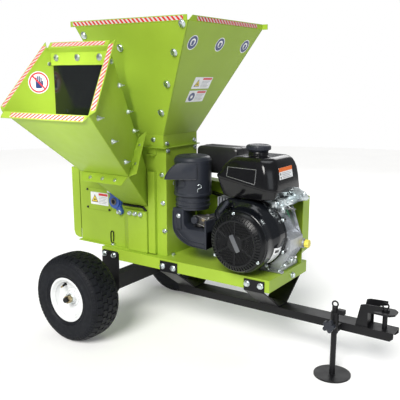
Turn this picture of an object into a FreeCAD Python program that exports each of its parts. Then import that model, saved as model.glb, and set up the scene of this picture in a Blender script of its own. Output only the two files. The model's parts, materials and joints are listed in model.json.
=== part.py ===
import FreeCAD, Part
import math
import os
import Sketcher
from FreeCAD import Placement, Rotation, Vector

# A towable wood chipper and shredder with a petrol engine. Millimetres.
# X runs from the wheel axle to the hitch, Y from the chute's side to the belt's side, Z up from the ground.
# Sizes are measured from the axle, the tow bar's centre line and the ground, and origin_x and
# origin_y move every sub-part to the frame of the whole object, at the bottom centre of its box.

doc = FreeCAD.newDocument("wood_chipper")
sheet = doc.addObject("Spreadsheet::Sheet", "Sizes")

SIZES = (
    ("origin_x", 433.0, "middle of the whole object, from the axle"),
    ("origin_y", -82.0, "middle of the whole object, from the tow bar"),
    # running gear
    ("tyre_radius", 165.0, "13 inch turf tyre"),
    ("tyre_half", 65.0, "half the tyre's width"),
    ("track_half", 322.0, "tow bar centre to wheel centre"),
    ("axle_radius", 10.0, "stub axle"),
    ("hub_play", 0.07, "radial play of the hubs, shafts and pins"),
    ("hub_half", 38.0, "half the hub's length"),
    ("beam_half", 20.0, "half the axle beam's depth"),
    ("beam_low", 133.0, "under the axle beam"),
    ("beam_high", 197.0, "top of the axle beam"),
    ("plate_steel", 4.0, "thickness of frame plates"),
    ("sheet_steel", 2.5, "thickness of hopper and chute sheets"),
    ("bar_half", 32.0, "half the tow bar's width"),
    ("bar_low", 148.0, "under the tow bar"),
    ("bar_top", 176.0, "top of the tow bar"),
    ("bar_rear", 258.0, "rear end of the tow bar"),
    ("bar_front", 1094.0, "hitch end of the tow bar"),
    # deck
    ("deck_rear", -39.0, "rear edge of the deck"),
    ("deck_front", 711.0, "front edge of the deck"),
    ("deck_half", 143.0, "half the deck's width"),
    ("deck_low", 265.0, "lower edge of the deck's folded rim"),
    ("deck_top", 308.0, "top of the deck"),
    ("saddle_width", 78.0, "length of a saddle along the bar"),
    ("mid_saddle", 255.0, "rear edge of the middle saddle"),
    ("front_saddle", 615.0, "rear edge of the front saddle"),
    ("saddle_top", 301.0, "top of the saddles' ears"),
    # jack and hitch
    ("jack_x", 912.0, "jack leg from the axle"),
    ("jack_y", -66.0, "jack leg beside the bar"),
    ("leg_radius", 9.5, "jack leg"),
    ("sleeve_radius", 13.0, "jack sleeve"),
    ("knob_z", 187.0, "jack knob above the ground"),
    ("foot_radius", 61.0, "jack foot"),
    ("pin_x", 1056.0, "hitch pin"),
    ("pin_radius", 8.0, "hitch pin"),
    ("jaw_low", 228.0, "underside of the hitch's upper jaw"),
    ("jaw_top", 234.0, "top of the hitch's upper jaw"),
    # chipper housing
    ("near_face", -107.0, "outer face of the near side plate"),
    ("far_face", 88.0, "outer face of the far side plate"),
    ("case_rear", -183.0, "rear wall of the housing"),
    ("case_front", 259.0, "front wall of the housing"),
    ("case_top", 688.0, "top of the housing behind the feed column"),
    ("column_rear", 120.0, "rear wall of the feed column"),
    ("column_top", 713.0, "top of the feed column"),
    ("rotor_x", 16.0, "rotor axis from the axle"),
    ("rotor_z", 492.0, "rotor axis above the ground"),
    ("rotor_radius", 165.0, "rotor disc"),
    ("shaft_radius", 12.5, "rotor shaft"),
    # feed chute, a pyramid cut by two planes
    ("chute_x", 111.0, "middle of the feed chute"),
    ("apex_y", 82.0, "apex of the chute's pyramid"),
    ("apex_z", 326.0, "apex of the chute's pyramid"),
    ("floor_run", 620.0, "apex to mouth along Y, at the floor"),
    ("floor_rise", 527.0, "apex to mouth along Z, at the floor"),
    ("floor_half", 198.0, "half the mouth's width at the floor"),
    ("roof_run", 466.0, "apex to mouth along Y, at the roof"),
    ("roof_rise", 736.0, "apex to mouth along Z, at the roof"),
    ("roof_half", 142.0, "half the mouth's width at the roof"),
    ("flange_part", 0.577, "the flange's place between apex and mouth"),
    ("flange_width", 36.0, "width of the flange strips"),
    ("flange_tail", 28.0, "length of the side strips beyond the roof's corners"),
    ("lip_width", 22.0, "folded lip round the chute's mouth"),
    ("curtain_y", -377.0, "inner face of the curtain and its clamp"),
    ("curtain_z", 1003.0, "hinge line of the curtain"),
    # hopper
    ("rim_rear", -29.0, "hopper rim, rear"),
    ("rim_front", 462.0, "hopper rim, front"),
    ("rim_near", -251.0, "hopper rim, near side"),
    ("rim_far", 228.0, "hopper rim, far side"),
    ("rim_top", 1157.0, "top of the hopper's hem"),
    ("hem_height", 17.0, "hopper hem"),
    ("neck_front", 255.0, "hopper neck, front"),
    ("neck_near", -116.0, "hopper neck, near side"),
    ("neck_far", 93.0, "hopper neck, far side"),
    ("neck_top", 760.0, "where the hopper's walls start"),
    # engine and drive
    ("crank_x", 603.0, "crankshaft from the axle"),
    ("crank_z", 430.0, "crankshaft above the ground"),
    ("crank_radius", 12.5, "crankshaft"),
    ("drum_radius", 108.0, "blower shroud"),
    ("drum_near", -165.0, "near end of the blower shroud"),
    ("cover_near", -192.0, "near face of the recoil starter"),
    ("engine_pulley_radius", 50.0, "driving pulley"),
    ("rotor_pulley_radius", 75.0, "driven pulley"),
    ("groove_depth", 11.0, "depth of a pulley groove"),
    ("belt_play", 0.5, "gap round a belt in its groove"),
    ("guard_near", 98.0, "open side of the belt guard"),
    ("guard_far", 150.0, "outer face of the belt guard"),
    ("canister_x", 345.0, "air cleaner"),
    ("canister_y", -60.0, "air cleaner"),
    ("canister_radius", 70.0, "air cleaner"),
    ("tank_rear", 476.0, "fuel tank"),
    ("tank_front", 704.0, "fuel tank"),
    ("tank_near", -120.0, "fuel tank"),
    ("tank_far", 100.0, "fuel tank"),
    ("tank_low", 566.0, "fuel tank"),
    ("tank_top", 704.0, "fuel tank"),
    ("cap_x", 592.0, "fuel cap"),
    ("cap_y", -20.0, "fuel cap"),
    ("cap_radius", 43.0, "fuel cap"),
    ("bolt_radius", 9.0, "bolt heads"),
    ("bolt_height", 6.5, "bolt heads"),
    ("small_bolt", 7.0, "smaller bolt heads"),
    ("hopper_bolt", 10.5, "bolt heads on the hopper"),
    ("wing_span", 40.0, "tip to tip of a wing nut"),
)

for row, (alias, amount, meaning) in enumerate(SIZES, start=1):
    sheet.set("A%d" % row, alias)
    sheet.set("B%d" % row, str(amount))
    sheet.set("C%d" % row, meaning)
    sheet.setAlias("B%d" % row, alias)
doc.recompute()


class Size:
    """A number that remembers the spreadsheet formula it came from."""

    def __init__(self, value, formula):
        self.value = value
        self.formula = formula

    def __add__(self, other):
        other = as_size(other)
        return Size(self.value + other.value, "(%s + %s)" % (self.formula, other.formula))

    def __sub__(self, other):
        other = as_size(other)
        return Size(self.value - other.value, "(%s - %s)" % (self.formula, other.formula))

    def __mul__(self, other):
        other = as_size(other)
        return Size(self.value * other.value, "(%s * %s)" % (self.formula, other.formula))

    def __radd__(self, other):
        return as_size(other) + self

    def __rsub__(self, other):
        return as_size(other) - self

    def __rmul__(self, other):
        return as_size(other) * self

    def __neg__(self):
        return Size(-self.value, "(0 - %s)" % self.formula)

    def __float__(self):
        return self.value


def as_size(amount):
    if isinstance(amount, Size):
        return amount
    return Size(float(amount), "(%.4f)" % float(amount))


class Cells:
    """The spreadsheet's cells by alias."""

    def __getattr__(self, alias):
        return Size(float(sheet.get(alias)), "Sizes." + alias)


S = Cells()
UP = Vector(0, 0, 1)
TURNS = {"Z": Rotation(), "Y": Rotation(Vector(1, 0, 0), -90), "X": Rotation(Vector(0, 1, 0), 90)}
places = {}
nodes = {}


def bind(item, name, amount):
    item.setExpression(name, as_size(amount).formula)


def place(item, point, turn=None):
    """Put an item at a point whose coordinates stay bound to the sheet."""
    item.Placement = Placement(Vector(*[float(amount) for amount in point]), turn or Rotation())
    for letter, amount in zip("xyz", point):
        bind(item, ".Placement.Base." + letter, amount)
    places[item.Name] = point
    return item


def box(name, low, high):
    item = doc.addObject("Part::Box", name)
    for side, first, last in zip(("Length", "Width", "Height"), low, high):
        bind(item, side, as_size(last) - first)
    return place(item, low)


def rod(name, axis, start, radius, length):
    """A round bar along +X, +Y or +Z from its start point."""
    item = doc.addObject("Part::Cylinder", name)
    bind(item, "Radius", radius)
    bind(item, "Height", length)
    return place(item, start, TURNS[axis])


def ring(name, axis, centre, radius, thickness):
    item = doc.addObject("Part::Torus", name)
    bind(item, "Radius1", radius)
    bind(item, "Radius2", thickness)
    return place(item, centre, TURNS[axis])


def hexagon(name, axis, start, radius, length):
    item = doc.addObject("Part::Prism", name)
    item.Polygon = 6
    bind(item, "Circumradius", radius)
    bind(item, "Height", length)
    return place(item, start, TURNS[axis])


def join(name, *items):
    item = doc.addObject("Part::MultiFuse", name)
    item.Shapes = list(items)
    return item


def cut(name, base, tool):
    item = doc.addObject("Part::Cut", name)
    item.Base = base
    item.Tool = tool
    return item


def group(name, *items):
    item = doc.addObject("Part::Compound", name)
    item.Links = list(items)
    return item


def feature(name, shape):
    item = doc.addObject("Part::Feature", name)
    item.Shape = shape
    return item


def subpart(node, item):
    """Name a finished sub-part and move it to the whole object's frame."""
    item.Label = node
    at = places.get(item.Name, (0, 0, 0))
    for letter, amount, origin in zip("xyz", at, (S.origin_x, S.origin_y, 0)):
        bind(item, ".Placement.Base." + letter, as_size(amount) - origin)
    nodes[node] = item


def pin_point(sketch, curve, end, point):
    """Hold one point of a sketch at bound distances from the sketch's origin."""
    for kind, axis, amount in (("DistanceX", -2, point[0]), ("DistanceY", -1, point[1])):
        if float(amount) == 0.0:
            sketch.addConstraint(Sketcher.Constraint("PointOnObject", curve, end, axis))
            continue
        index = sketch.addConstraint(Sketcher.Constraint(kind, -1, 1, curve, end, float(amount)))
        if isinstance(amount, Size):
            sketch.setExpression("Constraints[%d]" % index, amount.formula)


def draw(sketch, shape):
    """Draw a circle, given as (centre, radius), or a closed outline, given as a list of points."""
    first = sketch.GeometryCount
    if isinstance(shape, tuple):
        centre, radius = shape
        middle = Vector(float(centre[0]), float(centre[1]), 0)
        sketch.addGeometry(Part.Circle(middle, UP, float(radius)))
        pin_point(sketch, first, 3, centre)
        index = sketch.addConstraint(Sketcher.Constraint("Radius", first, float(radius)))
        bind(sketch, "Constraints[%d]" % index, radius)
        return
    ends = [Vector(float(across), float(up), 0) for across, up in shape]
    for start, end in zip(ends, ends[1:] + ends[:1]):
        sketch.addGeometry(Part.LineSegment(start, end))
    for index, point in enumerate(shape):
        following = first + (index + 1) % len(shape)
        sketch.addConstraint(Sketcher.Constraint("Coincident", first + index, 2, following, 1))
        pin_point(sketch, first + index, 1, point)


def new_sketch(body, name, plane, shapes, offset=0):
    sketch = body.newObject("Sketcher::SketchObject", name)
    support = [part for part in body.Origin.OriginFeatures if part.Role == plane + "_Plane"][0]
    sketch.AttachmentSupport = [(support, "")]
    sketch.MapMode = "FlatFace"
    bind(sketch, ".AttachmentOffset.Base.z", offset)
    for shape in shapes:
        draw(sketch, shape)
    return sketch


def plate(name, plane, shapes, start, end):
    """A padded outline: XY outlines stand along Z, XZ outlines along Y and YZ outlines along X."""
    body = doc.addObject("PartDesign::Body", name)
    start = as_size(start)
    end = as_size(end)
    offset = -end if plane == "XZ" else start
    pad = body.newObject("PartDesign::Pad", name + "_pad")
    pad.Profile = new_sketch(body, name + "_outline", plane, shapes, offset)
    bind(pad, "Length", end - start)
    return body


def turned(name, axis, centre, outline):
    """A turned piece: the outline's points are (along the axis, away from it)."""
    body = doc.addObject("PartDesign::Body", name)
    plane, line = {"X": ("XY", "H_Axis"), "Y": ("YZ", "H_Axis"), "Z": ("XZ", "V_Axis")}[axis]
    points = [(away, along) for along, away in outline] if axis == "Z" else outline
    sketch = new_sketch(body, name + "_outline", plane, [points])
    turn = body.newObject("PartDesign::Revolution", name + "_turn")
    turn.Profile = sketch
    turn.ReferenceAxis = (sketch, [line])
    return place(body, centre)


def sheet_panel(corners, thickness):
    """A flat sheet on four or more corners, thickened away from the side they run clockwise on."""
    points = [Vector(*[float(amount) for amount in corner]) for corner in corners]
    normal = (points[1] - points[0]).cross(points[2] - points[0]).normalize()
    face = Part.Face(Part.makePolygon(points + points[:1]))
    return face.extrude(normal * float(thickness))


# --- running gear -------------------------------------------------------------------------------

def make_tow_bar():
    low, top, half = S.bar_low, S.bar_top, S.bar_half
    chamfer = 10
    side = [(S.bar_rear, low), (S.bar_front - chamfer, low), (S.bar_front, low + chamfer),
            (S.bar_front, top), (S.bar_rear, top)]
    near = plate("bar_near_flange", "XZ", [side], -half, -half + S.plate_steel)
    far = plate("bar_far_flange", "XZ", [side], half - S.plate_steel, half)
    web_outline = [(S.bar_rear, -half), (S.bar_front, -half), (S.bar_front, half), (S.bar_rear, half)]
    hole = ((S.pin_x, 0), S.pin_radius + S.hub_play)
    web = plate("bar_web", "XY", [web_outline, hole], top - S.plate_steel, top)
    subpart("tow_bar", join("tow_bar_channel", near, far, web))


def make_axle():
    wall = S.plate_steel
    half = S.deck_half
    outer = box("beam_outside", (-S.beam_half, -half, S.beam_low), (S.beam_half, half, S.beam_high))
    inner = box("beam_inside", (wall - S.beam_half, -half + 8, S.beam_low + wall),
                (S.beam_half - wall, half - 8, S.beam_high - wall))
    tube = cut("beam_tube", outer, inner)
    reach = S.track_half + S.hub_half + 26
    stubs = []
    for name, start in (("near_stub", -reach), ("far_stub", half - 6)):
        stubs.append(rod(name, "Y", (0, start, S.tyre_radius), S.axle_radius, reach - half + 6))
    subpart("axle_beam", join("axle_weldment", tube, *stubs))


def make_axle_brackets():
    shape = [(-28, 298), (42, 298), (50, 290), (50, 150), (40, 136), (-28, 136), (-36, 150), (-36, 290)]
    hole = ((0, S.tyre_radius), S.axle_radius)
    near = plate("axle_bracket_near", "XZ", [shape, hole], -S.deck_half - S.plate_steel, -S.deck_half)
    far = plate("axle_bracket_far", "XZ", [shape, hole], S.deck_half, S.deck_half + S.plate_steel)
    subpart("axle_brackets", group("axle_bracket_pair", near, far))


def make_saddles():
    out = S.deck_half + S.plate_steel
    inn = S.deck_half
    flat = S.bar_half - 2
    top = S.bar_top
    left = [(-out, S.saddle_top), (-out, S.deck_low - 4), (-flat, top)]
    right = [(flat, top), (out, S.deck_low - 4), (out, S.saddle_top)]
    inside = [(inn, S.saddle_top), (inn, S.deck_low - 2), (flat - 2, top + S.plate_steel),
              (2 - flat, top + S.plate_steel), (-inn, S.deck_low - 2), (-inn, S.saddle_top)]
    pair = []
    for name, start in (("saddle_mid", S.mid_saddle), ("saddle_front", S.front_saddle)):
        pair.append(plate(name, "YZ", [left + right + inside], start, start + S.saddle_width))
    subpart("deck_saddles", group("saddle_pair", *pair))


def make_wheel(side, sign):
    """Rim and tyre of one wheel; the outline runs from the hub outwards."""
    centre = (0, sign * S.track_half, S.tyre_radius)
    bore = S.axle_radius + S.hub_play
    rim = [(-S.hub_half, bore), (S.hub_half, bore), (S.hub_half, 20), (25, 20), (22, 36), (34, 60),
           (48, 69), (57, 76), (57, 84), (53, 84), (53, 78), (46, 73), (-46, 73), (-53, 78), (-53, 84),
           (-57, 84), (-57, 76), (-48, 69), (30, 69), (30, 63), (18, 37), (20, 20), (-S.hub_half, 20)]
    rim = [(sign * as_size(along), away) for along, away in rim]
    subpart("rim_" + side, turned("rim_%s_body" % side, "Y", centre, rim))
    outer, half = S.tyre_radius, S.tyre_half
    tyre = [(-52, 79), (-58, 86), (-half, 112), (-half + 1, 140), (-56, 155), (-44, outer - 2), (-26, outer),
            (26, outer), (44, outer - 2), (56, 155), (half - 1, 140), (half, 112), (58, 86), (52, 79),
            (45, 73.3), (45, 84), (56, 112), (54, 140), (42, 153), (-42, 153), (-54, 140), (-56, 112),
            (-45, 84), (-45, 73.3)]
    subpart("tyre_" + side, turned("tyre_%s_body" % side, "Y", centre, tyre))


def make_wheel_nuts():
    hub_end = S.track_half + S.hub_half
    solids = []
    for side, washer, nut in (("near", -hub_end - 3.3, -hub_end - 18.3), ("far", hub_end + 0.3, hub_end + 3.3)):
        hole = rod("nut_hole_" + side, "Y", (0, nut - 20, S.tyre_radius), S.axle_radius, 60)
        disc = rod("washer_" + side, "Y", (0, washer, S.tyre_radius), 19, 3)
        hexed = hexagon("nut_" + side, "Y", (0, nut, S.tyre_radius), 16, 15)
        solids.append(cut("wheel_nut_" + side, join("nut_and_washer_" + side, disc, hexed), hole))
    subpart("wheel_nuts", group("wheel_nut_pair", *solids))


# --- deck, jack and hitch -----------------------------------------------------------------------

def make_deck():
    wall = S.plate_steel
    outer = box("deck_outside", (S.deck_rear, -S.deck_half, S.deck_low), (S.deck_front, S.deck_half, S.deck_top))
    inner = box("deck_inside", (S.deck_rear + wall, wall - S.deck_half, S.deck_low - 10),
                (S.deck_front - wall, S.deck_half - wall, S.deck_top - wall))
    subpart("deck_tray", cut("deck_folded", outer, inner))


def make_jack():
    x, y = S.jack_x, S.jack_y
    low, high, knob_y, knob_z = 150, 222, y - 54, S.knob_z
    tube = rod("sleeve_tube", "Z", (x, y, low), S.sleeve_radius, high - low)
    web = box("sleeve_web", (x - 12, y + 10, low + 2), (x + 12, -S.bar_half, S.bar_top - 2))
    lug = box("sleeve_lug", (x + 10.2, y - 8, high - 4), (x + 34, y + 8, high + 11))
    boss = rod("knob_boss", "Y", (x, knob_y + 20, knob_z), 9, 22)
    solid = join("sleeve_solid", tube, web, lug, boss)
    bore = rod("sleeve_bore", "Z", (x, y, low - 5), S.leg_radius + 0.4, high - low + 10)
    thread = rod("knob_thread", "Y", (x, knob_y + 16, knob_z), 5 + S.hub_play, 30)
    subpart("jack_sleeve", cut("sleeve_cut", solid, join("sleeve_holes", bore, thread)))

    foot = rod("foot_disc", "Z", (x, y, 0), S.foot_radius, 5)
    leg = rod("leg_tube", "Z", (x, y, 3), S.leg_radius, 236)
    eye = ring("leg_ring", "Y", (x, y, 248), 9.5, 2.6)
    subpart("jack_leg", join("leg_with_foot", foot, leg, eye))

    screw = rod("knob_screw", "Y", (x, knob_y + 12, knob_z), 5, 32)
    lobes = [rod("knob_lobe_%d" % index, "Y", (x + 14 * math.cos(index * math.pi / 2.5), knob_y,
                                               knob_z + 14 * math.sin(index * math.pi / 2.5)), 7, 15)
             for index in range(5)]
    heart = rod("knob_heart", "Y", (x, knob_y, knob_z), 14, 17)
    subpart("jack_knob", join("star_knob", screw, heart, *lobes))


def make_hitch():
    top, half = S.bar_top, S.bar_half
    gusset = [(969, top), (1010, top), (1009, S.jaw_top), (1022, S.jaw_top), (1054, 243), (1054, 257),
              (996, 254), (984, 250)]
    near = plate("gusset_near", "XZ", [gusset], -half, -half + S.plate_steel)
    far = plate("gusset_far", "XZ", [gusset], half - S.plate_steel, half)
    web = box("jaw_web", (998, -half, top), (1004, half, S.jaw_top))
    tip = S.bar_front - 2
    jaw = [(984, -half), (tip - 14, -half), (tip, -half + 14), (tip, half - 14), (tip - 14, half), (984, half)]
    hole = ((S.pin_x, 0), S.pin_radius + S.hub_play)
    upper = plate("upper_jaw", "XY", [jaw, hole], S.jaw_low, S.jaw_top)
    subpart("hitch_bracket", join("hitch_weldment", near, far, web, upper))

    pin = rod("pin_rod", "Z", (S.pin_x, 0, 158), S.pin_radius, 84)
    collar = rod("pin_collar", "Z", (S.pin_x, 0, S.jaw_top + 0.4), 13, 5)
    eye = ring("pin_ring", "Y", (S.pin_x, 0, 251), 9.5, 2.6)
    subpart("hitch_pin", join("hitch_pin_solid", pin, collar, eye))


# --- chipper housing ----------------------------------------------------------------------------

def chute_corner(part, level, side):
    """A corner of the chute's pyramid: part of the way to the mouth, 'floor' or 'roof', side -1 or 1."""
    run, rise, half = {"floor": (S.floor_run, S.floor_rise, S.floor_half),
                       "roof": (S.roof_run, S.roof_rise, S.roof_half)}[level]
    return (S.chute_x + side * half * part, S.apex_y - run * part, S.apex_z + rise * part)


def side_outline():
    return [(S.case_rear, S.deck_top), (S.case_front, S.deck_top), (S.case_front, S.column_top),
            (S.column_rear, S.column_top), (S.column_rear, S.case_top), (-90, S.case_top), (S.case_rear, 600)]


def make_near_plate():
    shaft_hole = ((S.rotor_x, S.rotor_z), 20)
    throat_hole = [(S.chute_x - 58, 486.2), (S.chute_x + 58, 486.2), (S.chute_x + 54, 620),
                   (S.chute_x - 54, 620)]
    flat = plate("near_sheet", "XZ", [side_outline(), shaft_hole, throat_hole],
                 S.near_face, S.near_face + S.plate_steel)
    rail = box("base_rail", (S.case_rear, S.near_face - 18, S.deck_top), (176, S.near_face + 1, S.deck_top + 4))
    tab = box("tab_back", (170, S.near_face - 5, 688), (216, S.near_face + 1, S.column_top))
    tab_foot = box("tab_foot", (174, S.near_face - 16, 684), (212, S.near_face + 1, 689))
    subpart("near_plate", join("near_plate_weldment", flat, rail, tab, tab_foot))


def make_far_plate():
    shaft_hole = ((S.rotor_x, S.rotor_z), 20)
    subpart("far_plate", plate("far_sheet", "XZ", [side_outline(), shaft_hole],
                               S.far_face - S.plate_steel, S.far_face))


def make_shell():
    wall = S.plate_steel
    near, far = S.near_face + wall, S.far_face - wall
    rear, front, top = S.case_rear, S.case_front, S.case_top
    back = [(rear, 480), (rear, 600), (-90, top), (S.column_rear, top), (S.column_rear, S.column_top),
            (S.column_rear + wall, S.column_top), (S.column_rear + wall, top - wall), (-88.4, top - wall),
            (rear + wall, 598.3), (rear + wall, 480)]
    floor = [(rear, S.deck_top), (front, S.deck_top), (front, S.column_top), (front - wall, S.column_top),
             (front - wall, S.deck_top + wall), (rear + wall, S.deck_top + wall), (rear + wall, 332), (rear, 332)]
    walls = [plate("shell_back", "XZ", [back], near, far), plate("shell_floor", "XZ", [floor], near, far)]
    hinge_x, hinge_z = rear - 22, 590
    for index, y in enumerate((-64, 44)):
        web = box("barrel_web_%d" % index, (hinge_x, y, hinge_z - 3), (rear + 2, y + 14, hinge_z + 3))
        barrel = rod("barrel_%d" % index, "Y", (hinge_x, y, hinge_z), 6.5, 14)
        bore = rod("barrel_bore_%d" % index, "Y", (hinge_x, y - 2, hinge_z), 4 + S.hub_play, 18)
        walls.append(cut("hinge_barrel_%d" % index, join("barrel_solid_%d" % index, web, barrel), bore))
    subpart("housing_shell", group("shell_group", join("shell_rear", walls[0], walls[2], walls[3]), walls[1]))


def make_housing_fittings():
    near = S.near_face
    post = [(182, near), (182, near - 14), (214, near - 14), (214, near), (211, near), (211, near - 11),
            (185, near - 11), (185, near)]
    subpart("corner_post", plate("post_fold", "XY", [post], S.deck_top + 4.2, 625))

    cover = [(52, near), (88, near - 21), (180, near - 21), (180, near), (177, near), (177, near - 18),
             (89, near - 18), (58, near)]
    walls = plate("anvil_walls", "XY", [cover], S.deck_top + 4.2, 470)
    lid = plate("anvil_lid", "XY", [cover[:4]], 467, 470)
    subpart("anvil_cover", join("anvil_cover_sheet", walls, lid))

    subpart("bed_knife", box("bed_knife_bar", (50, near + S.plate_steel, 440), (172, near + 16, 486)))
    corner = 8
    rear, front, low, high = -146, -16, 444, 530
    door = [(rear + corner, low), (front - corner, low), (front, low + corner), (front, high - corner),
            (front - corner, high), (rear + corner, high), (rear, high - corner), (rear, low + corner)]
    subpart("inspection_cover", plate("door_sheet", "XZ", [door], near - 2.5, near))

    seal = [(50, 480), (150, 480), (158, 471), (168, 471), (155, 486), (50, 486)]
    subpart("throat_seal", plate("seal_strip", "XZ", [seal], near - 8, near))


def make_deflector():
    rear, front = S.case_rear - 45, S.case_rear - 4
    low, high, hinge_z = 314, 606, 590
    corner = 9
    cheek = [(rear, low + 24), (rear + 7, low + 7), (rear + 24, low), (front, low), (front, high - corner),
             (front - corner, high), (rear, high)]
    near = plate("deflector_near", "XZ", [cheek], S.near_face, S.near_face + 3)
    far = plate("deflector_far", "XZ", [cheek], S.far_face - 3, S.far_face)
    back = box("deflector_back", (rear, S.near_face, low + 24), (rear + 3, S.far_face, high))
    top = box("deflector_top", (rear, S.near_face, high - 3), (S.case_rear - 25, S.far_face, high))
    pin = rod("deflector_pin", "Y", (S.case_rear - 22, S.near_face, hinge_z), 4, S.far_face - S.near_face)
    subpart("rear_deflector", join("deflector_hood", near, far, back, top, pin))


def make_bearings():
    """Two-bolt flange bearings, with the bolts on a slanted line through the shaft."""
    solids = []
    lean = math.radians(-60)
    for side, face, out in (("near", S.near_face, -1), ("far", S.far_face, 1)):
        flange_start = face - 12 if out < 0 else face
        body_start = face - 19 if out < 0 else face
        pieces = [rod("bearing_body_" + side, "Y", (S.rotor_x, body_start, S.rotor_z), 26, 19),
                  rod("bearing_seat_" + side, "Y", (S.rotor_x, flange_start, S.rotor_z), 30, 12)]
        for index, reach in enumerate((-45, 45)):
            at = (S.rotor_x + reach * math.cos(lean), flange_start, S.rotor_z + reach * math.sin(lean))
            pieces.append(rod("bearing_ear_%s_%d" % (side, index), "Y", at, 12, 12))
        bridge = doc.addObject("Part::Box", "bearing_bridge_" + side)
        bridge.Length, bridge.Width, bridge.Height = 90, 12, 24
        turn = Rotation(Vector(0, 1, 0), 60)
        corner = turn.multVec(Vector(-45, 0, -12))
        place(bridge, (S.rotor_x + corner.x, flange_start, S.rotor_z + corner.z), turn)
        bore = rod("bearing_bore_" + side, "Y", (S.rotor_x, face - 40, S.rotor_z),
                   S.shaft_radius + S.hub_play, 80)
        solids.append(cut("bearing_" + side, join("bearing_solid_" + side, bridge, *pieces), bore))
    subpart("flange_bearings", group("bearing_pair", *solids))


# --- rotor and drive ----------------------------------------------------------------------------

def make_rotor():
    centre = (S.rotor_x, 0, S.rotor_z)
    shaft_start = S.near_face - 22
    subpart("rotor_shaft", rod("rotor_shaft_bar", "Y", (S.rotor_x, shaft_start, S.rotor_z), S.shaft_radius,
                               S.guard_far - 5 - shaft_start))
    body = doc.addObject("PartDesign::Body", "rotor_disc_body")
    place(body, centre)
    disc_near, disc_far = S.near_face + 24, S.near_face + 40
    disc = body.newObject("PartDesign::Pad", "disc_pad")
    disc.Profile = new_sketch(body, "disc_outline", "XZ", [((0, 0), S.rotor_radius), ((0, 0), S.shaft_radius)],
                              -disc_far)
    bind(disc, "Length", disc_far - disc_near)
    paddle_outline = [(40, -4), (S.rotor_radius - 5, -4), (S.rotor_radius - 5, 4), (40, 4)]
    paddle_sketch = new_sketch(body, "paddle_outline", "XZ", [paddle_outline], 18 - S.far_face)
    paddle = body.newObject("PartDesign::Pad", "paddle_pad")
    paddle.Profile = paddle_sketch
    bind(paddle, "Length", S.far_face - 18 - disc_far + 1)
    around = body.newObject("PartDesign::PolarPattern", "paddle_pattern")
    around.Originals = [paddle]
    around.Axis = (paddle_sketch, ["N_Axis"])
    around.Angle = 360
    around.Occurrences = 4
    body.Tip = around
    subpart("rotor_disc", body)

    blades = []
    for index, sign in enumerate((-1, 1)):
        start = 45 if sign > 0 else -155
        blades.append(box("blade_%d" % index, (S.rotor_x + start, disc_near - 5, S.rotor_z - 20),
                          (S.rotor_x + start + 110, disc_near, S.rotor_z + 20)))
    subpart("chipper_knives", group("blade_pair", *blades))


def make_pulley(node, x, z, radius, bore):
    rib = radius - S.groove_depth
    outline = [(-16, bore), (-16, radius), (-13, radius), (-13, rib), (-1, rib), (-1, radius), (1, radius),
               (1, rib), (13, rib), (13, radius), (16, radius), (16, bore)]
    subpart(node, turned(node + "_body", "Y", (x, 128, z), outline))


def loop_face(first, first_radius, second, second_radius):
    """The area inside a belt that runs round two circles in the XZ plane."""
    line = second - first
    heading = math.atan2(line.z, line.x)
    spread = math.acos((first_radius - second_radius) / line.Length)

    def on(centre, radius, angle):
        return centre + Vector(radius * math.cos(angle), 0, radius * math.sin(angle))

    up, down = heading + spread, heading - spread
    edges = [Part.makeLine(on(first, first_radius, down), on(second, second_radius, down)),
             Part.Arc(on(second, second_radius, down), on(second, second_radius, heading),
                      on(second, second_radius, up)).toShape(),
             Part.makeLine(on(second, second_radius, up), on(first, first_radius, up)),
             Part.Arc(on(first, first_radius, up), on(first, first_radius, heading + math.pi),
                      on(first, first_radius, down)).toShape()]
    return Part.Face(Part.Wire(edges))


def make_belts():
    first = Vector(float(S.rotor_x), 0, float(S.rotor_z))
    second = Vector(float(S.crank_x), 0, float(S.crank_z))
    outside = [float(S.rotor_pulley_radius) - 1, float(S.engine_pulley_radius) - 1]
    depth = float(S.groove_depth - S.belt_play) - 1
    ring_face = loop_face(first, outside[0], second, outside[1]).cut(
        loop_face(first, outside[0] - depth, second, outside[1] - depth))
    play = float(S.belt_play)
    belts = []
    for start in (115 + play, 129 + play):
        strip = ring_face.copy()
        strip.translate(Vector(0, start, 0))
        belts.append(strip.extrude(Vector(0, 12 - 2 * play, 0)))
    subpart("drive_belts", feature("belt_pair", Part.makeCompound(belts)))


def make_belt_guard():
    corners = [(-75, 560), (-45, 590), (80, 590), (712, 548), (712, 352), (690, 330), (560, 330), (60, 398),
               (-45, 398), (-75, 430)]
    points = [Vector(x, 0, z) for x, z in corners]
    face = Part.Face(Part.makePolygon(points + points[:1]))
    near, far = float(S.guard_near), float(S.guard_far)
    face.translate(Vector(0, near, 0))
    inner = face.makeOffset2D(-2.0)
    inner.translate(Vector(0, -1, 0))
    shell = face.extrude(Vector(0, far - near, 0)).cut(inner.extrude(Vector(0, far - near - 1, 0)))
    foot = Part.makeBox(18, 4, 352 - float(S.deck_top), Vector(693, near, float(S.deck_top)))
    stays = [Part.makeBox(20, 12, 3, Vector(x, near - 10, 585)) for x in (-40, 30)]
    subpart("belt_guard", feature("guard_sheet", shell.multiFuse([foot] + stays).removeSplitter()))


# --- hopper and chute ---------------------------------------------------------------------------

def hopper_ring():
    low = [(S.column_rear, S.neck_near), (S.neck_front, S.neck_near), (S.neck_front, S.neck_far),
           (S.column_rear, S.neck_far)]
    high = [(S.rim_rear, S.rim_near), (S.rim_front, S.rim_near), (S.rim_front, S.rim_far),
            (S.rim_rear, S.rim_far)]
    low = [Vector(float(x), float(y), float(S.neck_top)) for x, y in low]
    high = [Vector(float(x), float(y), float(S.rim_top - S.hem_height)) for x, y in high]
    return low, high


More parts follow.
